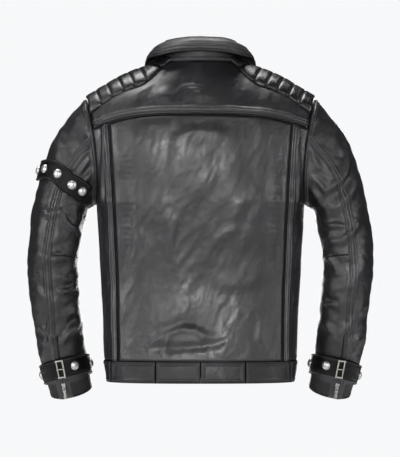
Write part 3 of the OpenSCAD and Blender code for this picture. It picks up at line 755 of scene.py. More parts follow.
# Sleeves
SPLIT_W = 1.65
SLEEVE_FOLDS = {
    "right": (
        (-1, 7, 5.0, ((294, -150), (299, -186), (289, -232), (268, -256), (248, -270))),
        (-1, 10, 3.4, ((318, -226), (306, -262), (282, -290), (262, -304))),
        (-1, 6, 3.6, ((213, -160), (228, -196), (241, -226))),
        (-1, 5, 3.2, ((224, -238), (240, -250), (252, -268))),
        (-1, 5, 3.0, ((222, -262), (236, -276), (246, -296))),
        (-1, 8, 3.8, ((320, -322), (308, -346), (280, -366), (250, -358))),
        (-1, 7, 3.0, ((246, -338), (272, -334), (296, -340))),
        (-1, 12, 3.2, ((338, -404), (312, -440), (292, -480), (280, -512))),
        (-1, 9, 3.4, ((334, -470), (318, -512), (300, -540), (276, -560))),
        (-1, 6, 2.8, ((244, -392), (262, -404), (276, -424))),
        (-1, 5, 3.0, ((242, -472), (256, -492), (280, -496))),
        (-1, 7, 2.4, ((238, -530), (258, -542), (272, -560))),
        (-1, 9, 2.0, ((322, -560), (304, -590), (282, -606))),
        (1, 9, 3.4, ((300, -170), (286, -226), (252, -262))),
        (1, 9, 3.2, ((322, -250), (292, -290), (246, -300))),
        (1, 8, 3.2, ((340, -380), (300, -404), (256, -396))),
        (1, 8, 3.2, ((346, -424), (304, -446), (254, -430))),
        (1, 9, 3.0, ((342, -480), (300, -492), (250, -468))),
        (1, 10, 2.6, ((326, -548), (290, -560), (244, -540))),
    ),
    "left": (
        (-1, 8, 3.6, ((-222, -176), (-244, -204), (-262, -228))),
        (-1, 6, 4.6, ((-222, -196), (-236, -218), (-250, -238))),
        (-1, 6, 4.0, ((-216, -226), (-232, -242), (-246, -256))),
        (-1, 10, 2.6, ((-330, -200), (-306, -176), (-280, -168))),
        (-1, 9, 3.4, ((-330, -296), (-304, -312), (-278, -304))),
        (-1, 7, 4.2, ((-284, -300), (-268, -330), (-246, -352), (-240, -378))),
        (-1, 8, 2.8, ((-256, -296), (-250, -330), (-240, -346))),
        (-1, 11, 4.2, ((-340, -382), (-318, -396), (-292, -402), (-268, -384))),
        (-1, 7, 3.2, ((-288, -436), (-266, -446), (-246, -432))),
        (-1, 7, 3.6, ((-292, -470), (-266, -466), (-244, -450))),
        (-1, 12, 2.6, ((-340, -462), (-316, -476), (-296, -500))),
        (-1, 6, 4.4, ((-284, -580), (-270, -556), (-250, -532), (-242, -520))),
        (-1, 9, 2.6, ((-282, -520), (-262, -512), (-244, -494))),
        (-1, 8, 2.8, ((-330, -534), (-314, -546), (-300, -534))),
        (-1, 7, 2.6, ((-324, -566), (-310, -572), (-300, -556))),
        (1, 9, 3.4, ((-302, -176), (-284, -222), (-250, -258))),
        (1, 9, 3.2, ((-322, -300), (-292, -316), (-246, -306))),
        (1, 8, 3.2, ((-340, -388), (-300, -402), (-256, -384))),
        (1, 8, 3.4, ((-346, -432), (-304, -440), (-254, -418))),
        (1, 9, 3.0, ((-340, -486), (-300, -500), (-250, -478))),
        (1, 10, 2.6, ((-326, -556), (-290, -552), (-244, -530))),
    ),
}
SHOULDER_ZONE = ((212, 76, -292), (288, 76, -349))
ELBOW_ZONE = ((298, 68, -385), (298, 68, -520))


def zone(pair, sign):
    return [tuple(value * MM * (sign if k == 0 else 1) for k, value in enumerate(p)) for p in pair]


def sleeve_grid():
    """Rows from the cuff up and columns round the sleeve from its back seam; and where they are."""
    fine = np.concatenate([np.arange(0, 18, 0.65), 18 + np.cumsum(np.linspace(0.8, 3.4, 9))])
    step = 3.2
    length = 400.0
    middle = np.linspace(fine[-1], length - fine[-1], int((length - 2 * fine[-1]) / step))
    round_it = np.concatenate([fine[:-1], middle, (length - fine[::-1])[1:-1]]) * 360 / length
    w = np.concatenate([np.linspace(0, 0.1, 26), np.linspace(0.1, 0.7, 56)[1:],
                        np.linspace(0.7, 1.86, 62)[1:], np.linspace(1.86, 2.1, 34)[1:],
                        np.linspace(2.1, 4.86, 104)[1:], np.linspace(4.86, 5, 20)[1:]])
    split = np.argmin(np.abs(w - SPLIT_W))
    w = w[::-1]
    return w, len(w) - 1 - split, round_it


def sleeve_height(side, sign, w, round_it, grid, normals):
    """Lumps and folds of one sleeve, and its seams. Columns start at the back seam."""
    flip = np.array((sign, 1, 1))
    depth = settings().leather.relief / MM
    place = grid * flip
    soft = depth * (1.2 * noise(place, (64, 70, 52), 21 + sign) + 0.9 * noise(place, (30, 34, 24), 24)
                    + 0.3 * noise(place, (13, 13, 11), 26))
    folds = fold_height(place, normals * flip, SLEEVE_FOLDS[side])
    rows = w[:, None]
    calm = ease(rows / 0.22) * ease((4.34 - rows) / 0.4)
    sway = (soft + 1.4 * folds) * (0.06 + 0.94 * calm)
    seam_side = distances_round(grid)
    inner_way, outer_way = seam_side
    lift, cut = edge_shape("over", outer_way)
    under = -0.9 * bell(inner_way, 1.6)
    over = 1.0 * lift * ease(inner_way / 1.2 + 0.001)
    # The cross seam on the inner side at the elbow
    elbow = (rows - 1.97) * 92 + 6 * np.cos(np.radians(round_it))
    below = (round_it > 180) * ease(inner_way / 3)
    cross = -1.4 * bell(elbow, 1.1) * below * ease((inner_way - 2) / 3) * ease((95 - inner_way) / 10)
    # The cuff's opening runs on above the strap as two sewn edges over a closed zip
    vent = ease((rows - 3.62) / 0.05) * ease((4.4 - rows) / 0.05)
    slot = -1.6 * (bell(inner_way - 3.5, 1.5) + bell(outer_way - 3.5, 1.5)) * vent
    hole = far_from_end(grid, last=True)
    hem = far_from_end(grid, last=False)
    hole_lift, hole_cut = edge_shape("over", hole)
    hem_lift, hem_cut = edge_shape("hem", hem)
    details = np.maximum(over, hole_lift) + np.minimum(cut * (1 - vent), np.minimum(hole_cut, hem_cut))
    details = details + under * (1 - vent) + cross + slot + 0.6 * hem_lift
    near = np.maximum(bell(outer_way - 6, 8), bell(inner_way, 7))
    near = np.maximum(near, bell(hole - 6, 8))
    details = details + pucker(place, near)
    # Paler near seams and on raised edges as rubbed leather; fold ridges paler and fold hollows darker as
    # painted sheen and painted shade; seam grooves darker as painted shade; darker and duller below the cuff
    # strap.
    wear_and_painted_light = np.clip(0.3 * near + 0.25 * lift + 0.09 * sway + 0.7 * details * (details < 0)
                   - 0.5 * ease((rows - 4.6) / 0.1), -1, 1)
    return sway, details, wear_and_painted_light, inner_way, outer_way, hole, hem


def distances_round(grid):
    """How far round each ring a point is from its first column, each way. The first columns
    run from the back towards the inner side when the angle falls."""
    steps = np.linalg.norm(np.roll(grid, -1, 1) - grid, axis=-1)
    run = np.concatenate([np.zeros((len(grid), 1)), steps.cumsum(1)[:, :-1]], 1)
    total = steps.sum(1, keepdims=True)
    return total - run, run


def far_from_end(grid, last):
    steps = np.linalg.norm(np.diff(grid, axis=0), axis=-1)
    run = np.concatenate([np.zeros((1, grid.shape[1])), steps.cumsum(0)])
    return run[-1:] - run if last else run


def make_sleeve(side, sign):
    w, split, round_it = sleeve_grid()
    angle = through(SLEEVE_SEAM_LINE, w)[:, None] + round_it[None]
    grid = sleeve(w[:, None], angle)
    normals = normals_of(grid, closed=True)
    sway, details, wear_and_painted_light, inner_way, outer_way, hole, hem = sleeve_height(
        side, sign, w, round_it, grid, normals)
    outer = grid + normals * (sway + details)[..., None]
    inner = grid + normals * (np.minimum(sway, 1.5) * 0.6 - LEATHER)[..., None]
    shading = normals_of(outer, closed=True)
    parts = ((f"{side}_upper_sleeve_leather", slice(split, None), "jacket", f"{side}_upper_arm",
              SHOULDER_ZONE, (f"{side}_sleeve_head", f"{side}_upper_sleeve")),
             (f"{side}_lower_sleeve_leather", slice(0, split + 1), f"{side}_upper_arm",
              f"{side}_forearm", ELBOW_ZONE, (f"{side}_elbow_panel", f"{side}_lower_sleeve")))
    for name, rows, first, second, where, nodes in parts:
        piece = wall(name, outer[rows], inner[rows], [material("Sleeve leather"), material("Lining")],
                     True, sign < 0, wear_and_painted_light[rows], shading[rows])
        finish_leather(piece,
                       None, nodes)
        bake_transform(piece)
    # Stitches beside the back seam, round the armhole and round the cuff's edge
    for away in STITCH_ROWS["over"]:
        k = np.argmin(np.abs(outer_way - away), axis=1)
        line = outer[np.arange(len(w)), k]
        out = normals[np.arange(len(w)), k]
        sewn = (w > 0.02) & (w < 3.6)
        for part, kept in ((f"{side}_upper", sewn & (w <= SPLIT_W)), (f"{side}_lower", sewn & (w > SPLIT_W))):
            Stitching.add(part, line[kept] + 0.12 * out[kept], out[kept], sign < 0)
        k = np.argmin(np.abs(hole - away), axis=0)
        columns = np.arange(len(round_it))
        ring, out = outer[k, columns], normals[k, columns]
        ring, out = np.concatenate([ring, ring[:1]]), np.concatenate([out, out[:1]])
        Stitching.add(f"{side}_upper", ring + 0.12 * out, out, sign < 0)
    k = np.argmin(np.abs(hem - 3.2), axis=0)
    ring, out = outer[k, np.arange(len(round_it))], normals[k, np.arange(len(round_it))]
    Stitching.add(f"{side}_lower", ring + 0.12 * out, out, sign < 0)


# Places on the sleeve, for straps, studs and buckles
def strap_w(angle):
    turn = np.radians(angle)
    return 4.5 + 0.04 * np.cos(turn) + 0.2 * np.sin(turn)


CUFF_STRAP_HALF = 0.215
BUCKLE_ANGLE = -84
CUFF_STUD_ANGLES = (0, 55, 110, 182, -117)
ARM_STUD_ANGLES = (-120, -100, -70, -38, -4, 28, 58, 86, 112)
ARM_BAND_END = 130
STRAP_COLUMNS = 221


def on_sleeve(w, angle, proud):
    """A frame on the right sleeve: x along the ring, y outwards, z up, and its start."""
    here = sleeve(w, angle)
    along = unit(sleeve(w, angle - 1) - sleeve(w, angle + 1))
    up = sleeve(w - 0.02, angle) - sleeve(w + 0.02, angle)
    out = unit(np.cross(up, along))
    return np.array([along, out, np.cross(along, out)]), here + proud * out


def band_w(angle):
    turn = np.radians(angle)
    return 0.8 - 0.08 * np.sin(turn) ** 2 - 0.42 * np.maximum(0, -np.cos(turn)) ** 1.5


def band_frame(angle, proud):
    """A frame on the arm band: x back along it, y outwards, z up, and its start."""
    angle = np.asarray(angle, float)
    centre = sleeve(band_w(angle), angle)
    along = unit(sleeve(band_w(angle + 2), angle + 2) - sleeve(band_w(angle - 2), angle - 2))
    up = sleeve(band_w(angle) - 0.02, angle) - sleeve(band_w(angle) + 0.02, angle)
    out = unit(np.cross(along, up))
    rise = np.cross(out, along)
    return np.stack([-along, out, rise], -2), centre + proud * out


def strap_section(half, thick):
    """A strap's outer face across its height: flat, rounded at both edges, with sewn grooves."""
    v = np.concatenate([np.linspace(-1, -0.86, 8), np.linspace(-0.86, -0.5, 12)[1:],
                        np.linspace(-0.5, 0.5, 12)[1:], np.linspace(0.5, 0.86, 12)[1:],
                        np.linspace(0.86, 1, 8)[1:]])
    edge = (1 - np.abs(v)) * half
    fall = 1 - np.sqrt(1 - (1 - np.clip(edge / 2.6, 0, 1)) ** 2)
    rolled = 1.1 * bell(edge - 2.4, 2.2) - 1.0 * bell(edge - 4.6, 1.0) + 0.5 * bell(edge - 12, 6)
    return v, thick - 0.9 * thick * fall + rolled


def strap_wall(name, centre, out, rise, half, thick, foot, closed, mirrored):
    """A thick strap laid along a line, standing foot above the sleeve."""
    v, height = strap_section(half, thick)
    count = len(centre)
    base = centre[None] + v[:, None, None] * half * rise[None]
    flip = mirror(mirrored)
    wave = 0.35 * noise(base * flip, (22, 22, 22), 31) + 0.12 * noise(base * flip, (7, 7, 7), 32)
    outer = base + out[None] * (foot + height[:, None] + wave)[..., None]
    inner = base + out[None] * foot
    piece = wall(name, outer, inner, [material("Strap leather")] * 2, closed, mirrored)
    low, high = np.argmin(np.abs((1 + v) * half - 4.2)), np.argmin(np.abs((1 - v) * half - 4.2))
    lines = [outer[k][list(range(count)) + ([0] if closed else [])] for k in (low, high)]
    outs = out[list(range(count)) + ([0] if closed else [])]
    return piece, lines, outs


def make_arm_band():
    angle = np.linspace(-ARM_BAND_END, ARM_BAND_END, STRAP_COLUMNS)
    frame_here, centre = band_frame(angle, 0)
    out, rise = frame_here[:, 1], frame_here[:, 2]
    piece, lines, outs = strap_wall("arm_band_strap", centre, out, rise, 21, STRAP_THICK, 3.0, False, True)
    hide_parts("arm_band")
    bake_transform(piece)
    for line in lines:
        Stitching.add("left_upper", (line + 0.15 * outs)[3:-3], outs[3:-3], True)


def make_cuff_strap(side, sign):
    angle = np.linspace(BUCKLE_ANGLE, BUCKLE_ANGLE + 360, STRAP_COLUMNS)[:-1]
    w = strap_w(angle)
    centre = sleeve(w, angle)
    up = sleeve(w - CUFF_STRAP_HALF, angle) - sleeve(w + CUFF_STRAP_HALF, angle)
    half = float(np.linalg.norm(up, axis=-1).mean() / 2)
    along = unit(np.roll(centre, -1, 0) - np.roll(centre, 1, 0))
    out = unit(np.cross(along, up))
    rise = unit(up)
    piece, lines, outs = strap_wall(f"{side}_cuff_strap_leather", centre, out, rise, half, STRAP_THICK,
                                    1.5, True, sign < 0)
    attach(piece, f"{side}_forearm")
    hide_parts(f"{side}_cuff_strap")
    for line in lines:
        Stitching.add(f"{side}_forearm", line + 0.15 * outs, outs, sign < 0)


# Metal, modelled as by hand at the origin in metres, then copied to its places
def fresh(add, **where):
    """Adds a primitive with nothing else selected and leaves it in edit mode with none selected."""
    bpy.ops.object.select_all(action="DESELECT")
    add(**where)
    bpy.ops.object.transform_apply(location=True, rotation=True, scale=True)
    bpy.ops.object.mode_set(mode="EDIT")
    bpy.ops.mesh.select_all(action="DESELECT")
    return bpy.context.active_object


def pick(piece, test, kind="FACE"):
    """Selects, in edit mode, the faces or edges whose middle passes the test."""
    bpy.ops.mesh.select_mode(type=kind)
    bpy.ops.mesh.select_all(action="DESELECT")
    shape = bmesh.from_edit_mesh(piece.data)
    for item in shape.faces if kind == "FACE" else shape.edges:
        middle = sum((v.co for v in item.verts), Vector()) / len(item.verts)
        item.select_set(bool(test(item, middle)))
    shape.select_flush(True)
    bmesh.update_edit_mesh(piece.data)


def round_off(piece, width, segments=2, angle=30):
    """Leaves edit mode and bevels every sharp edge with an applied modifier."""
    bpy.ops.object.mode_set(mode="OBJECT")
    bevel = piece.modifiers.new("Edges", "BEVEL")
    bevel.width, bevel.segments, bevel.limit_method = width, segments, "ANGLE"
    bevel.angle_limit = math.radians(angle)
    bevel.harden_normals = False
    bpy.ops.object.modifier_apply(modifier=bevel.name)
    bpy.ops.object.shade_smooth_by_angle(angle=math.radians(40))


def cut_away(piece, tool):
    """Cuts a tool's shape out of a piece and removes the tool."""
    if bpy.context.mode != "OBJECT":
        bpy.ops.object.mode_set(mode="OBJECT")
    bpy.context.view_layer.objects.active = piece
    boolean = piece.modifiers.new("Cut", "BOOLEAN")
    boolean.operation, boolean.object, boolean.solver = "DIFFERENCE", tool, "EXACT"
    bpy.ops.object.modifier_apply(modifier=boolean.name)
    bpy.data.objects.remove(tool)


def join(pieces):
    bpy.ops.object.select_all(action="DESELECT")
    for piece in pieces:
        piece.select_set(True)
    bpy.context.view_layer.objects.active = pieces[0]
    bpy.ops.object.join()
    return pieces[0]


def copies(name, pattern, places, stuff):
    """Copies of a modelled pattern at frames of three axes (rows) and a start, in millimetres, as
    one object. A frame may be left-handed: its copy is then turned right side out."""
    made = []
    for axes, start, mirrored in places:
        mesh = pattern.data.copy()
        turn = Matrix([[*axes[:, k], start[k] * MM] for k in range(3)] + [[0, 0, 0, 1]])
        if mirrored:
            turn = Matrix.Scale(-1, 4, (1, 0, 0)) @ turn
        mesh.transform(turn)
        if turn.determinant() < 0:
            mesh.flip_normals()
        one = bpy.data.objects.new(name, mesh)
        bpy.context.scene.collection.objects.link(one)
        made.append(one)
    piece = join(made) if len(made) > 1 else made[0]
    piece.name = name
    piece.data.materials.clear()
    piece.data.materials.append(material(stuff))
    return piece


def stud_pattern():
    """A dome stud: a low cap over a rim that is turned in against the leather."""
    radius = settings().metal.stud_width / 2
    dome = fresh(bpy.ops.mesh.primitive_uv_sphere_add, segments=40, ring_count=24, radius=radius,
                 location=(0, 0, 0), rotation=(math.radians(-90), 0, 0))
    bpy.ops.mesh.select_all(action="SELECT")
    bpy.ops.mesh.bisect(plane_co=(0, 0, 0), plane_no=(0, 1, 0), clear_inner=True, use_fill=True)
    bpy.ops.mesh.select_all(action="SELECT")
    bpy.ops.transform.resize(value=(0.93, 0.52, 0.93), center_override=(0, 0, 0))
    pick(dome, lambda face, middle: abs(face.normal.y + 1) < 0.01)
    bpy.ops.mesh.extrude_region_move(TRANSFORM_OT_translate={"value": (0, -0.0004, 0)})
    bpy.ops.transform.resize(value=(1 / 0.93, 1, 1 / 0.93), center_override=(0, 0, 0))
    bpy.ops.mesh.extrude_region_move(TRANSFORM_OT_translate={"value": (0, -0.0009, 0)})
    bpy.ops.mesh.extrude_region_move(TRANSFORM_OT_translate={"value": (0, -0.0005, 0)})
    bpy.ops.transform.resize(value=(0.9, 1, 0.9), center_override=(0, 0, 0))
    bpy.ops.mesh.select_all(action="SELECT")
    bpy.ops.mesh.normals_make_consistent(inside=False)
    round_off(dome, 0.00025, 2, 35)
    dents = 0.00009
    for vertex in dome.data.vertices:
        place = np.array(vertex.co)[None] / MM
        if vertex.co.y > 0.001:
            vertex.co.y += dents * float(noise(place, (3.4, 3.4, 3.4), 41)[0])
    return dome


def make_studs():
    pattern = stud_pattern()
    for side, sign in SIDES:
        places = [(*on_sleeve(float(strap_w(a)), a, 2.9 + STRAP_THICK), sign < 0) for a in CUFF_STUD_ANGLES]
        piece = copies(f"{side}_cuff_dome_studs", pattern, places, "Stud nickel")
        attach(piece, f"{side}_forearm")
        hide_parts(f"{side}_cuff_studs")
    places = []
    for angle in ARM_STUD_ANGLES:
        axes, start = band_frame(angle, 4.4 + STRAP_THICK)
        places.append((axes, start, True))
    piece = copies("arm_band_dome_studs", pattern, places, "Stud nickel")
    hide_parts("arm_band_studs")
    start, end = zone(SHOULDER_ZONE, -1)
    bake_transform(piece)
    bpy.data.objects.remove(pattern)


BUCKLE_WIDTH, BUCKLE_HEIGHT, BAR_R = 16, 39, 1.3
BUCKLE_OUT = 1.5 + STRAP_THICK + 2.2


def make_buckles():
    """A rounded frame with a bar, and the prong that swings on the bar."""
    w, h = BUCKLE_WIDTH * MM, BUCKLE_HEIGHT * MM
    frame_piece = fresh(bpy.ops.mesh.primitive_cube_add, size=1, location=(0, 0, 0), scale=(w, 0.0026, h))
    bpy.ops.mesh.select_all(action="SELECT")
    bpy.ops.mesh.subdivide(number_cuts=1)
    bpy.ops.object.mode_set(mode="OBJECT")
    hole = fresh(bpy.ops.mesh.primitive_cube_add, size=1, location=(-0.0027, 0, 0),
                 scale=(w, 0.01, h - 0.006))
    round_off(hole, 0.0012, 3)
    cut_away(frame_piece, hole)
    round_off(frame_piece, 0.00075, 3)
    bar = fresh(bpy.ops.mesh.primitive_cylinder_add, vertices=24, radius=BAR_R * MM, depth=h - 0.0016,
                location=(0.002 - w / 2, 0, 0))
    round_off(bar, 0.0003, 2)
    buckle = join([frame_piece, bar])
    prong = fresh(bpy.ops.mesh.primitive_torus_add, major_segments=28, minor_segments=10,
                  major_radius=0.00215, minor_radius=0.00078, location=(0, 0, 0))
    bpy.ops.object.mode_set(mode="OBJECT")
    tongue = fresh(bpy.ops.mesh.primitive_cube_add, size=1, location=(0.0042, 0.0013, 0),
                   scale=(0.0056, 0.0016, 0.0021))
    pick(tongue, lambda face, middle: face.normal.x > 0.9)
    bpy.ops.mesh.extrude_region_move(TRANSFORM_OT_translate={"value": (0.0026, 0.0011, 0)})
    bpy.ops.mesh.extrude_region_move(TRANSFORM_OT_translate={"value": (0.0044, 0.0002, 0)})
    bpy.ops.transform.resize(value=(1, 0.7, 0.6), center_override=(0.014, 0.0026, 0))
    round_off(tongue, 0.0005, 3)
    prong = join([prong, tongue])
    for side, sign in SIDES:
        axes, start = on_sleeve(float(strap_w(BUCKLE_ANGLE)), BUCKLE_ANGLE, BUCKLE_OUT)
        piece = copies(f"{side}_buckle_frame", buckle, [(axes, start, sign < 0)], "Buckle metal")
        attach(piece, f"{side}_forearm")
        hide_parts(f"{side}_cuff_buckle")
        pivot = start + (2 - BUCKLE_WIDTH / 2) * axes[0]
        piece = copies(f"{side}_buckle_prong", prong, [(axes, pivot, sign < 0)], "Buckle metal")
        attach(piece, f"{side}_cuff_prong")
        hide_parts(f"{side}_cuff_prong")
    bpy.data.objects.remove(buckle)
    bpy.data.objects.remove(prong)


# Zips: where each one's chain starts, with axes across, out and along
def zip_between(low, high, proud):
    (x_low, z_low), (x_high, z_high) = low, high
    start = skin(1, x_low, z_low)
    along = unit(skin(1, x_high, z_high) - start)
    x, z = (x_low + x_high) / 2, (z_low + z_high) / 2
    beside = skin(1, x + 4, z) - skin(1, x - 4, z)
    across = unit(beside - beside.dot(along) * along)
    out = np.cross(along, across)
    return np.array([across, out, along]), start + proud * out


def front_zip():
    lean = math.atan(0.075)
    axes = np.array([(1, 0, 0), (0, math.cos(lean), math.sin(lean)), (0, -math.sin(lean), math.cos(lean))])
    top = np.array([0, 150 - 0.075 * (-100 + 85) - NAPE_Y - LEATHER + 0.1, -100])
    return axes, top - FRONT_ZIP_LENGTH * axes[2]


def cuff_zip():
    low, high = sleeve(4.98, -81), sleeve(4.06, -81)
    along = unit(high - low)
    beside = sleeve(4.5, -84) - sleeve(4.5, -78)
    across = unit(beside - beside.dot(along) * along)
    out = np.cross(along, across)
    return np.array([across, out, along]), low + 1.5 * out


FRONT_ZIP_LENGTH = 552
TEETH_WIDTH, TAPE_REACH = 5.6, 13
LUG_Y, LUG_Z, PIN_R = 5.4, 5.5, 1.0


def zips():
    """(name, frame, mirrored, length, slider's place, tab's hang, body)"""
    pocket, chest = zip_between((126, -520), (160, -374), 3), zip_between((-62, -262), (-150, -180), 4.6)
    cuff = cuff_zip()
    return (
        ("front_zip", front_zip(), False, FRONT_ZIP_LENGTH, FRONT_ZIP_LENGTH - 20, 0, "jacket"),
        ("chest_zip", chest, False, 120, 100, 0, "jacket"),
        ("left_pocket_zip", pocket, True, 150, 130, 0, "jacket"),
        ("right_pocket_zip", pocket, False, 150, 130, 0, "jacket"),
        ("left_cuff_zip", cuff, True, 38, 20, 20, "left_forearm"),
        ("right_cuff_zip", cuff, False, 38, 20, 20, "right_forearm"),
    )


def make_zip_chain(name, place, mirrored, length, body):
    """Two tapes with a cord edge, and a row of teeth on each that mesh in the middle."""
    axes, start = place
    v = np.linspace(0, length, max(int(length / 4), 8))[:, None]
    u = np.array([-TAPE_REACH, -12.4, -11.6, -9, -6, -4.2, -3.2, -2.2, -0.3, 0, 0.3, 2.2, 3.2, 4.2, 6, 9,
                  11.6, 12.4, TAPE_REACH])
    height = -0.4 + 0.5 * bell(np.abs(u) - 2.9, 0.9) - 0.5 * bell(u, 0.5) - 0.15 * bell(np.abs(u) - 8, 0.8)
    ripple = 0.06 * np.sin(v * 0.9 + 3 * np.sign(u))
    local = np.stack([u + 0 * v, height + ripple, v + 0 * u], -1)[:, ::-1]
    grid = local @ axes + start
    inner = (local - (0, 0.8, 0)) @ axes + start
    tape = wall(f"{name}_tape", grid, inner, [material("Zip tape")] * 2, mirrored=mirrored)
    tooth = fresh(bpy.ops.mesh.primitive_cube_add, size=1, location=(0.0012, 0.0009, 0),
                  scale=(0.0033, 0.0018, 0.0011))
    pick(tooth, lambda face, middle: face.normal.x < -0.9)
    bpy.ops.mesh.inset(thickness=0.00025)
    bpy.ops.transform.translate(value=(-0.0003, 0, 0))
    bpy.ops.object.mode_set(mode="OBJECT")
    points = np.array([v.co[:] for v in tooth.data.vertices]) / MM
    faces = np.array([list(p.vertices) for p in tooth.data.polygons])
    bpy.data.objects.remove(tooth)
    pitch = settings().metal.tooth_pitch / MM
    count = int((length - 1.6) / pitch)
    sets, rows = [], []
    for k in range(2 * count):
        hand = 1 if k % 2 else -1
        at = points * (hand, 1, 1) + (0, 0, 0.8 + (k + 0.5) * pitch / 2)
        sets.append(at @ axes + start)
        rows.append((faces if hand > 0 else faces[:, ::-1]) + k * len(points))
    teeth = new_mesh(f"{name}_teeth", np.concatenate(sets), np.concatenate(rows), 0,
                     [material("Zip teeth")], mirrored)
    bpy.ops.object.select_all(action="DESELECT")
    teeth.data.shade_flat()
    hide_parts(f"{name}_chain")
    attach(tape, body)
    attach(teeth, body)


def slider_pattern():
    """A wedge-shaped cover over the teeth, its side walls, and the bridge that holds the tab."""
    cover = fresh(bpy.ops.mesh.primitive_cube_add, size=1, location=(0, 0.0031, 0.0085),
                  scale=(0.0088, 0.0014, 0.011))
    pick(cover, lambda face, middle: face.normal.z < -0.9)
    bpy.ops.transform.resize(value=(0.55, 1, 1), center_override=(0, 0.0031, 0.003))
    pick(cover, lambda face, middle: face.normal.y > 0.9)
    bpy.ops.mesh.inset(thickness=0.0009)
    bpy.ops.transform.translate(value=(0, 0.0003, 0))
    round_off(cover, 0.00035, 2, 20)
    parts = [cover]
    inside = TEETH_WIDTH / 2 + 0.4
    for hand in (-1, 1):
        side = fresh(bpy.ops.mesh.primitive_cube_add, size=1,
                     location=(hand * (inside + 0.5) * MM, 0.0015, 0.0105), scale=(0.001, 0.0032, 0.007))
        round_off(side, 0.0003, 2)
        parts.append(side)
    lug = fresh(bpy.ops.mesh.primitive_cube_add, size=1, location=(0, 0.0051, 0.0055),
                scale=(0.0028, 0.0034, 0.005))
    round_off(lug, 0.0006, 3)
    hole = fresh(bpy.ops.mesh.primitive_cylinder_add, vertices=24, radius=(PIN_R + 0.06) * MM, depth=0.006,
                 location=(0, LUG_Y * MM, LUG_Z * MM), rotation=(0, math.radians(90), 0))
    bpy.ops.object.mode_set(mode="OBJECT")
    cut_away(lug, hole)
    bpy.ops.object.shade_smooth_by_angle(angle=math.radians(40))
    return join([*parts, lug])


def pull_pattern():
    """The tab: a pin in two arms that spread from a waist, and a tapering plate with a hole."""
    pin = fresh(bpy.ops.mesh.primitive_cylinder_add, vertices=20, radius=PIN_R * MM, depth=0.006,
                location=(0, 0, 0), rotation=(0, math.radians(90), 0))
    round_off(pin, 0.0002, 2)
    parts = [pin]
    for hand in (-1, 1):
        arm = fresh(bpy.ops.mesh.primitive_cube_add, size=1, location=(hand * 0.0024, 0, -0.00255),
                    scale=(0.0012, 0.0018, 0.0069))
        round_off(arm, 0.0004, 3)
        parts.append(arm)
    plate = fresh(bpy.ops.mesh.primitive_cube_add, size=1, location=(0, 0, -0.0072),
                  scale=(0.006, 0.0017, 0.0034))
    pick(plate, lambda face, middle: face.normal.z < -0.9)
    for drop, grow in ((0.0015, 0.72), (0.003, 0.8), (0.003, 1.5), (0.0035, 1.1), (0.0035, 0.7)):
        bpy.ops.mesh.extrude_region_move(TRANSFORM_OT_translate={"value": (0, 0, -drop)})
        bpy.ops.transform.resize(value=(grow, 1, 1), center_override=(0, 0, 0))
    bpy.ops.object.mode_set(mode="OBJECT")
    hole = fresh(bpy.ops.mesh.primitive_cylinder_add, vertices=24, radius=0.0012, depth=0.006,
                 location=(0, 0, -0.0188), rotation=(math.radians(90), 0, 0))
    bpy.ops.object.mode_set(mode="OBJECT")
    cut_away(plate, hole)
    round_off(plate, 0.00035, 2, 25)
    return join([*parts, plate])


def make_zips():
    slider, pull = slider_pattern(), pull_pattern()
    for name, (axes, start), mirrored, length, slider_z, hang, body in zips():
        make_zip_chain(name, (axes, start), mirrored, length, body)
        at = start + slider_z * axes[2]
        piece = copies(f"{name}_slider_body", slider, [(axes, at, mirrored)], "Zip metal")
        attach(piece, f"{name}_slider")
        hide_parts(f"{name}_slider")
        turn = math.radians(hang)
        hung = np.array([axes[0], math.cos(turn) * axes[1] + math.sin(turn) * axes[2],
                         -math.sin(turn) * axes[1] + math.cos(turn) * axes[2]])
        pivot = at + LUG_Y * axes[1] + LUG_Z * axes[2]
        piece = copies(f"{name}_pull_tab", pull, [(hung, pivot, mirrored)], "Zip metal")
        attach(piece, f"{name}_pull")
        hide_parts(f"{name}_pull")
    bpy.data.objects.remove(slider)
    bpy.data.objects.remove(pull)


def make_stitching():
    """Each body's rows of stitches as one piece; the rows on the sleeves and the arm band are fixed in place
    with no body, as that leather is.
    """
    for part, rows in Stitching.rows.items():
        piece = stitch_mesh(f"{part}_stitching", rows, material("Thread"))
        side, _, half = part.partition("_")
        if half == "upper":
            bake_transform(piece)
        elif half == "lower":
            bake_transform(piece)
        else:
            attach(piece, part)


# Materials. Patterns read Object coordinates, in metres.
def start_material(name):
    stuff = bpy.data.materials.new(name)
    stuff.use_nodes = True
    tree = stuff.node_tree
    shader = tree.nodes["Principled BSDF"]
    coordinates = tree.nodes.new("ShaderNodeTexCoord").outputs["Object"]
    return stuff, tree, shader, coordinates


def texture(tree, kind, vector, scale, detail=2.0, **options):
    node = tree.nodes.new(f"ShaderNodeTex{kind}")
    node.inputs["Scale"].default_value = scale
    if "Detail" in node.inputs:
        node.inputs["Detail"].default_value = detail
    for key, value in options.items():
        setattr(node, key, value)
    tree.links.new(vector, node.inputs["Vector"])
    return node


def math_node(tree, operation, *values):
    node = tree.nodes.new("ShaderNodeMath")
    node.operation = operation
    for socket, value in zip(node.inputs, values):
        if isinstance(value, (int, float)):
            socket.default_value = value
        else:
            tree.links.new(value, socket)
    return node.outputs[0]


def span(tree, value, low, high, to_low=0.0, to_high=1.0):
    node = tree.nodes.new("ShaderNodeMapRange")
    node.interpolation_type = "SMOOTHSTEP"
    tree.links.new(value, node.inputs["Value"])
    for key, number in (("From Min", low), ("From Max", high), ("To Min", to_low), ("To Max", to_high)):
        node.inputs[key].default_value = number
    return node.outputs["Result"]


def blend_colours(tree, share, low, high):
    node = tree.nodes.new("ShaderNodeMix")
    node.data_type = "RGBA"
    tree.links.new(share, node.inputs["Factor"])
    for socket, value in ((node.inputs[6], low), (node.inputs[7], high)):
        if isinstance(value, tuple):
            socket.default_value = (*value, 1)
        else:
            tree.links.new(value, socket)
    return node.outputs[2]


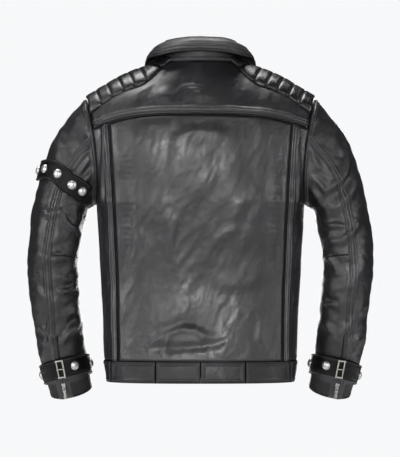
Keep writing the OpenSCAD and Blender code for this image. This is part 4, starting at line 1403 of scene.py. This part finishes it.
def bump(tree, height, distance, strength, under=None):
    node = tree.nodes.new("ShaderNodeBump")
    node.inputs["Distance"].default_value = distance
    node.inputs["Strength"].default_value = strength
    tree.links.new(height, node.inputs["Height"])
    if under is not None:
        tree.links.new(under, node.inputs["Normal"])
    return node.outputs["Normal"]


def scaled(colour, factor):
    return tuple(channel * factor for channel in colour)


def leather(name, tone=1.0, roughness=0.31, grain=1.0, crinkle=0.3, colour=None, gloss=0.0, shine=0.5):
    """Grained hide: pebbles between fine creases, soft wrinkles, broad patches of random tone stretched to
    stand in for the mottled sheen as painted sheen, paler raised edges that are partly rubbed and partly a
    painted highlight, and painted shade in grooves and fold hollows.
    """
    look = settings().leather
    hide = scaled(tuple(colour or look.hide), tone)
    stuff, tree, shader, at = start_material(name)
    warp = texture(tree, "Noise", at, 320, 2).outputs["Color"]
    bend = tree.nodes.new("ShaderNodeMix")
    bend.data_type = "VECTOR"
    bend.inputs["Factor"].default_value = 0.0006
    tree.links.new(at, bend.inputs[4])
    tree.links.new(warp, bend.inputs[5])
    cells = texture(tree, "Voronoi", bend.outputs[1], 1 / (look.grain * grain), 0,
                    feature="DISTANCE_TO_EDGE")
    pebble = span(tree, cells.outputs["Distance"], 0.0, 0.16)
    pores = texture(tree, "Noise", at, 2600, 3).outputs["Fac"]
    soft = texture(tree, "Noise", at, 95, 5).outputs["Fac"]
    patches = texture(tree, "Noise", at, 9, 6).outputs["Fac"]
    # Broad patches of random tone, stretched from dark to pale and less rough where pale, to stand in for the
    # leather's mottled sheen as painted sheen.
    tone_and_painted_sheen = span(tree, patches, 0.36, 0.66)
    wear_and_light_marks = tree.nodes.new("ShaderNodeAttribute")
    wear_and_light_marks.attribute_name = "wear_and_painted_light"
    # Read from the mesh: high values are rubbed seams and edges together with painted highlight on fold
    # ridges and pad ribs; low values are painted shade.
    raised = span(tree, wear_and_light_marks.outputs["Fac"], 0, 1)
    painted_shade = span(tree, wear_and_light_marks.outputs["Fac"], 0, -1)
    scuff_and_painted_sheen = math_node(tree, "MULTIPLY", raised, span(tree, soft, 0.3, 0.7))
    base = blend_colours(tree, tone_and_painted_sheen, scaled(hide, 0.35), scaled(hide, 2.1))
    base = blend_colours(tree, math_node(tree, "MULTIPLY", scuff_and_painted_sheen, 0.6), base, scaled(hide, 5))
    # Painted shade: grooves, fold hollows and pad seams go toward near black, rougher and less shiny, and the
    # cuff's end below the strap is made darker and duller the same way.
    base = blend_colours(tree, painted_shade, base, scaled(hide, 0.1))
    base = blend_colours(tree, pebble, scaled(hide, 0.45), base)
    tree.links.new(base, shader.inputs["Base Color"])
    rough = math_node(tree, "ADD", span(tree, tone_and_painted_sheen, 0, 1, roughness + 0.08, roughness - 0.06),
                      math_node(tree, "MULTIPLY", pores, 0.06))
    rough = math_node(tree, "ADD", rough, math_node(tree, "MULTIPLY", painted_shade, 0.3))
    tree.links.new(rough, shader.inputs["Roughness"])
    tree.links.new(span(tree, painted_shade, 0, 1, shine, 0.2 * shine), shader.inputs["Specular IOR Level"])
    coarse = bump(tree, soft, 0.0016, crinkle)
    fine = math_node(tree, "ADD", pebble, math_node(tree, "MULTIPLY", pores, 0.5))
    tree.links.new(bump(tree, fine, 0.00013, 0.5, coarse), shader.inputs["Normal"])
    if gloss:
        shader.inputs["Coat Weight"].default_value = gloss
        shader.inputs["Coat Roughness"].default_value = 0.22
    return stuff


def woven(name, colour, roughness, pitch):
    """Plain woven cloth: two crossing sets of threads."""
    stuff, tree, shader, at = start_material(name)
    waves = [texture(tree, "Wave", at, math.pi / pitch / 10, 0, bands_direction=way) for way in "XZ"]
    height = math_node(tree, "MAXIMUM", *(wave.outputs["Fac"] for wave in waves))
    tree.links.new(bump(tree, height, 0.0002, 0.5), shader.inputs["Normal"])
    soft = texture(tree, "Noise", at, 60, 3).outputs["Fac"]
    # Painted shade: the cloth is darker between its threads, with a random tone laid over it.
    shade = math_node(tree, "MULTIPLY", height, span(tree, soft, 0.2, 0.8, 0.7, 1.0))
    tree.links.new(blend_colours(tree, shade, scaled(colour, 0.4), colour), shader.inputs["Base Color"])
    shader.inputs["Roughness"].default_value = roughness
    shader.inputs["Sheen Weight"].default_value = 0.25
    return stuff


def metal(name, colour, roughness, dirt=0.35, brushed=0.0):
    """Plated metal: fine scratches, a dull film in patches, and darker tarnish."""
    stuff, tree, shader, at = start_material(name)
    film = texture(tree, "Noise", at, 420, 6).outputs["Fac"]
    stretch = tree.nodes.new("ShaderNodeMapping")
    stretch.inputs["Scale"].default_value = (1, 1, 9)
    tree.links.new(at, stretch.inputs["Vector"])
    scratch = texture(tree, "Noise", stretch.outputs["Vector"], 1700, 4).outputs["Fac"]
    dull = span(tree, film, 0.4, 0.72)
    tarnished = blend_colours(tree, math_node(tree, "MULTIPLY", dull, dirt), colour, scaled(colour, 0.35))
    tree.links.new(tarnished, shader.inputs["Base Color"])
    shader.inputs["Metallic"].default_value = 1.0
    rough = math_node(tree, "ADD", span(tree, dull, 0, 1, roughness, roughness + 0.18),
                      math_node(tree, "MULTIPLY", scratch, 0.1))
    tree.links.new(rough, shader.inputs["Roughness"])
    tree.links.new(bump(tree, scratch, 0.00004, 0.25 + brushed), shader.inputs["Normal"])
    return stuff


def waxed_thread(name):
    stuff, tree, shader, at = start_material(name)
    twist = texture(tree, "Noise", at, 3200, 2).outputs["Fac"]
    tree.links.new(blend_colours(tree, twist, (0.012, 0.012, 0.013), (0.045, 0.045, 0.048)),
                   shader.inputs["Base Color"])
    tree.links.new(bump(tree, twist, 0.0001, 0.5), shader.inputs["Normal"])
    shader.inputs["Roughness"].default_value = 0.5
    return stuff


MATERIALS = {
    "Body leather": lambda name: leather(name),
    "Sleeve leather": lambda name: leather(name, roughness=0.33, crinkle=0.3),
    "Collar leather": lambda name: leather(name, tone=1.2, roughness=0.42),
    "Waistband leather": lambda name: leather(name, tone=0.8, roughness=0.38, crinkle=0.36, shine=0.3),
    "Quilted leather": lambda name: leather(name, tone=0.4, roughness=0.26, crinkle=0.35, gloss=0.15),
    "Strap leather": lambda name: leather(name, tone=0.3, roughness=0.36, grain=0.8, crinkle=0.25,
                                    shine=0.14),
    "Suede side": lambda name: leather(name, tone=1.6, roughness=0.85, grain=0.5, crinkle=0.6),
    "Lining": lambda name: woven(name, (0.03, 0.03, 0.033), 0.5, 0.0005),
    "Zip tape": lambda name: woven(name, (0.018, 0.018, 0.02), 0.8, 0.0007),
    "Thread": waxed_thread,
    "Stud nickel": lambda name: metal(name, (0.5, 0.49, 0.48), 0.36, 0.5, 0.2),
    "Buckle metal": lambda name: metal(name, (0.42, 0.405, 0.37), 0.3, 0.5),
    "Zip metal": lambda name: metal(name, (0.36, 0.35, 0.33), 0.3, 0.6),
    "Zip teeth": lambda name: metal(name, (0.26, 0.25, 0.24), 0.35, 0.6),
}


# Stage
def make_stage():
    look = settings().stage
    scene = bpy.context.scene
    scene.view_settings.view_transform = "Standard"
    floor = fresh(bpy.ops.mesh.primitive_circle_add, vertices=96, radius=look.floor_radius,
                  fill_type="NGON", location=(0, 0.075, look.floor_z))
    bpy.ops.object.mode_set(mode="OBJECT")
    floor.name = "floor"
    stuff = bpy.data.materials.new("Pale floor")
    stuff.use_nodes = True
    stuff.node_tree.nodes["Principled BSDF"].inputs["Base Color"].default_value = (*look.floor_colour, 1)
    stuff.node_tree.nodes["Principled BSDF"].inputs["Roughness"].default_value = 0.8
    floor.data.materials.append(stuff)
    world = bpy.data.worlds.new("Studio")
    scene.world = world
    world.use_nodes = True
    tree = world.node_tree
    backdrop = tree.nodes["Background"]
    backdrop.inputs["Color"].default_value = (0.985, 0.99, 1, 1)
    path = tree.nodes.new("ShaderNodeLightPath").outputs["Is Camera Ray"]
    tree.links.new(span(tree, path, 0, 1, look.ambient, look.backdrop), backdrop.inputs["Strength"])
    for name, place, size, power in (
        ("Key light", (-0.3, -6.4, 0.22), (1.0, 1.0), look.key_power * 3.3),
        ("Overhead light", (-0.2, 0.5, 2.0), (2.4, 1.4), look.top_power * 1.4),
        ("Left light", (-2.6, -1.5, 0.2), (0.6, 2.0), look.side_power * 1.3),
        ("Right light", (2.6, -1.3, 0.0), (0.5, 1.8), look.side_power * 0.8),
        ("Front light", (0.2, 3.4, -0.3), (1.6, 1.2), look.key_power * 0.5),
    ):
        lamp = bpy.data.lights.new(name, "AREA")
        lamp.shape, lamp.size, lamp.size_y, lamp.energy = "RECTANGLE", *size, power
        holder = bpy.data.objects.new(name, lamp)
        holder.location = place
        aim = Vector((0, 0.08, -0.33)) - Vector(place)
        holder.rotation_euler = aim.to_track_quat("-Z", "Y").to_euler()
        scene.collection.objects.link(holder)
    camera = bpy.data.cameras.new("Camera")
    # The frame's height at the jacket's back sets the lens, for a sensor whose long side is upright
    camera.sensor_fit = "AUTO"
    camera.lens = camera.sensor_width * look.camera_distance / look.view_height
    camera.clip_end = 50
    holder = bpy.data.objects.new("Camera", camera)
    holder.location = (look.view_x, 0.03 - look.camera_distance, look.view_z)
    holder.rotation_euler = (math.radians(90), 0, 0)
    scene.collection.objects.link(holder)
    scene.camera = holder


# The add-on
class JacketLeather(bpy.types.PropertyGroup):
    """Sizes and colour of the leather and its sewing."""
    hide: bpy.props.FloatVectorProperty(name="Hide", description="Colour of the hide", subtype="COLOR",
                                        size=3, min=0, max=1, default=(0.0075, 0.0075, 0.0088))
    grain: bpy.props.FloatProperty(name="Grain", description="Size of a pebble of the grain",
                                   default=0.0013, unit="LENGTH")
    relief: bpy.props.FloatProperty(name="Relief", description="Depth of the leather's soft lumps",
                                    default=0.0024, unit="LENGTH")
    pad_height: bpy.props.FloatProperty(name="Pad height", description="Height of a quilted rib",
                                        default=0.009, unit="LENGTH")
    stitch_pitch: bpy.props.FloatProperty(name="Stitch pitch", description="From one stitch to the next",
                                          default=0.0036, unit="LENGTH")
    stitch_length: bpy.props.FloatProperty(name="Stitch length", description="Length of a stitch",
                                           default=0.0028, unit="LENGTH")
    thread: bpy.props.FloatProperty(name="Thread", description="Thickness of the thread",
                                    default=0.0009, unit="LENGTH")


class JacketMetal(bpy.types.PropertyGroup):
    """Sizes of the studs and zips."""
    stud_width: bpy.props.FloatProperty(name="Stud", description="Width of a dome stud",
                                        default=0.0186, unit="LENGTH")
    tooth_pitch: bpy.props.FloatProperty(name="Tooth pitch", description="From one zip tooth to the next",
                                         default=0.0026, unit="LENGTH")


class JacketStage(bpy.types.PropertyGroup):
    """Floor, lights and camera."""
    floor_z: bpy.props.FloatProperty(name="Floor", description="Height of the floor", default=-1.25,
                                     unit="LENGTH")
    floor_radius: bpy.props.FloatProperty(name="Floor radius", description="Radius of the floor",
                                          default=2.5, unit="LENGTH")
    floor_colour: bpy.props.FloatVectorProperty(name="Floor colour", description="Colour of the floor",
                                                subtype="COLOR", size=3, default=(0.82, 0.82, 0.83))
    key_power: bpy.props.FloatProperty(name="Key", description="Power of the main light", default=95,
                                       unit="POWER")
    top_power: bpy.props.FloatProperty(name="Overhead", description="Power of the light above",
                                       default=70, unit="POWER")
    side_power: bpy.props.FloatProperty(name="Side", description="Power of the light on the left",
                                        default=50, unit="POWER")
    ambient: bpy.props.FloatProperty(name="Ambient", description="Strength of the room's light",
                                     default=0.06)
    backdrop: bpy.props.FloatProperty(name="Backdrop", description="Brightness of the backdrop",
                                      default=0.95)
    camera_distance: bpy.props.FloatProperty(name="Camera distance", description="Camera to jacket",
                                             default=6.0, unit="LENGTH")
    view_height: bpy.props.FloatProperty(name="View height", description="Height of the view",
                                         default=0.9254, unit="LENGTH")
    view_x: bpy.props.FloatProperty(name="View X", description="Middle of the view across",
                                    default=-0.001, unit="LENGTH")
    view_z: bpy.props.FloatProperty(name="View Z", description="Middle of the view's height",
                                    default=-0.341, unit="LENGTH")


class RidingJacket(bpy.types.PropertyGroup):
    """All the jacket's settings."""
    leather: bpy.props.PointerProperty(type=JacketLeather, name="Leather", description="Leather")
    metal: bpy.props.PointerProperty(type=JacketMetal, name="Metal", description="Studs and zips")
    stage: bpy.props.PointerProperty(type=JacketStage, name="Stage", description="Floor and lights")


class JACKET_OT_body(bpy.types.Operator):
    """Lay the back, yoke, side and front panels"""
    bl_idname = "jacket.body"
    bl_label = "Body panels"

    def execute(self, context):
        make_back_panel()
        make_yoke()
        for side, sign in SIDES:
            make_back_side(side, sign)
            make_front(side, sign)
        return {"FINISHED"}


class JACKET_OT_pads(bpy.types.Operator):
    """Stuff and quilt the shoulder pads"""
    bl_idname = "jacket.pads"
    bl_label = "Shoulder pads"

    def execute(self, context):
        for side, sign in SIDES:
            make_pad(side, sign)
        return {"FINISHED"}


class JACKET_OT_collar(bpy.types.Operator):
    """Make the collar's stand and its turned-down fall"""
    bl_idname = "jacket.collar"
    bl_label = "Collar"

    def execute(self, context):
        make_collar_stand()
        make_collar_fall()
        return {"FINISHED"}


class JACKET_OT_lining(bpy.types.Operator):
    """Line the body and sew in the hanging loop"""
    bl_idname = "jacket.lining"
    bl_label = "Lining and loop"

    def execute(self, context):
        make_lining()
        make_hang_loop()
        return {"FINISHED"}


class JACKET_OT_waistband(bpy.types.Operator):
    """Make the waistband's six panels"""
    bl_idname = "jacket.waistband"
    bl_label = "Waistband"

    def execute(self, context):
        for k, node in enumerate(("outer_left", "inner_left", "inner_right", "outer_right")):
            from_x = (k - 2) * BAND_PANEL
            make_band_back(f"waistband_leather_{node}", f"waistband_{node}", from_x, from_x + BAND_PANEL)
        for side, sign in SIDES:
            make_band_front(side, sign)
        return {"FINISHED"}


class JACKET_OT_sleeves(bpy.types.Operator):
    """Make both sleeves, each as an upper and a lower piece"""
    bl_idname = "jacket.sleeves"
    bl_label = "Sleeves"

    def execute(self, context):
        for side, sign in SIDES:
            make_sleeve(side, sign)
        return {"FINISHED"}


class JACKET_OT_straps(bpy.types.Operator):
    """Wrap the arm band and the cuff straps"""
    bl_idname = "jacket.straps"
    bl_label = "Straps"

    def execute(self, context):
        make_arm_band()
        for side, sign in SIDES:
            make_cuff_strap(side, sign)
        return {"FINISHED"}


class JACKET_OT_metal(bpy.types.Operator):
    """Set the dome studs, the buckles and their prongs"""
    bl_idname = "jacket.metal"
    bl_label = "Studs and buckles"

    def execute(self, context):
        make_studs()
        make_buckles()
        return {"FINISHED"}


class JACKET_OT_zips(bpy.types.Operator):
    """Make each zip's tapes, teeth, slider and tab"""
    bl_idname = "jacket.zips"
    bl_label = "Zips"

    def execute(self, context):
        make_zips()
        return {"FINISHED"}


class JACKET_OT_stitching(bpy.types.Operator):
    """Sew the rows of stitches that the leather has asked for"""
    bl_idname = "jacket.stitching"
    bl_label = "Stitching"

    def execute(self, context):
        make_stitching()
        return {"FINISHED"}


class JACKET_OT_stage(bpy.types.Operator):
    """Set the floor, the lights and the camera"""
    bl_idname = "jacket.stage"
    bl_label = "Stage"

    def execute(self, context):
        make_stage()
        return {"FINISHED"}


OPERATORS = (JACKET_OT_stage, JACKET_OT_body, JACKET_OT_pads, JACKET_OT_collar, JACKET_OT_lining,
             JACKET_OT_waistband, JACKET_OT_sleeves, JACKET_OT_straps, JACKET_OT_metal, JACKET_OT_zips,
             JACKET_OT_stitching)


class JACKET_PT_panel(bpy.types.Panel):
    """The jacket's settings and its makers"""
    bl_idname = "JACKET_PT_panel"
    bl_label = "Riding jacket"
    bl_space_type = "VIEW_3D"
    bl_region_type = "UI"
    bl_category = "Jacket"

    def draw(self, context):
        for group in (settings().leather, settings().metal, settings().stage):
            box = self.layout.box()
            for key in group.__annotations__:
                box.prop(group, key)
        for operator in OPERATORS:
            self.layout.operator(operator.bl_idname)


CLASSES = (JacketLeather, JacketMetal, JacketStage, RidingJacket, *OPERATORS, JACKET_PT_panel)


def register():
    for one in CLASSES:
        bpy.utils.register_class(one)
    bpy.types.Scene.riding_jacket = bpy.props.PointerProperty(
        type=RidingJacket, name="Riding jacket", description="Settings of the riding jacket")


def unregister():
    del bpy.types.Scene.riding_jacket
    for one in reversed(CLASSES):
        bpy.utils.unregister_class(one)


def main():
    register()
    for operator in OPERATORS:
        group, name = operator.bl_idname.split(".")
        getattr(getattr(bpy.ops, group), name)()


if __name__ == "__main__":
    main()
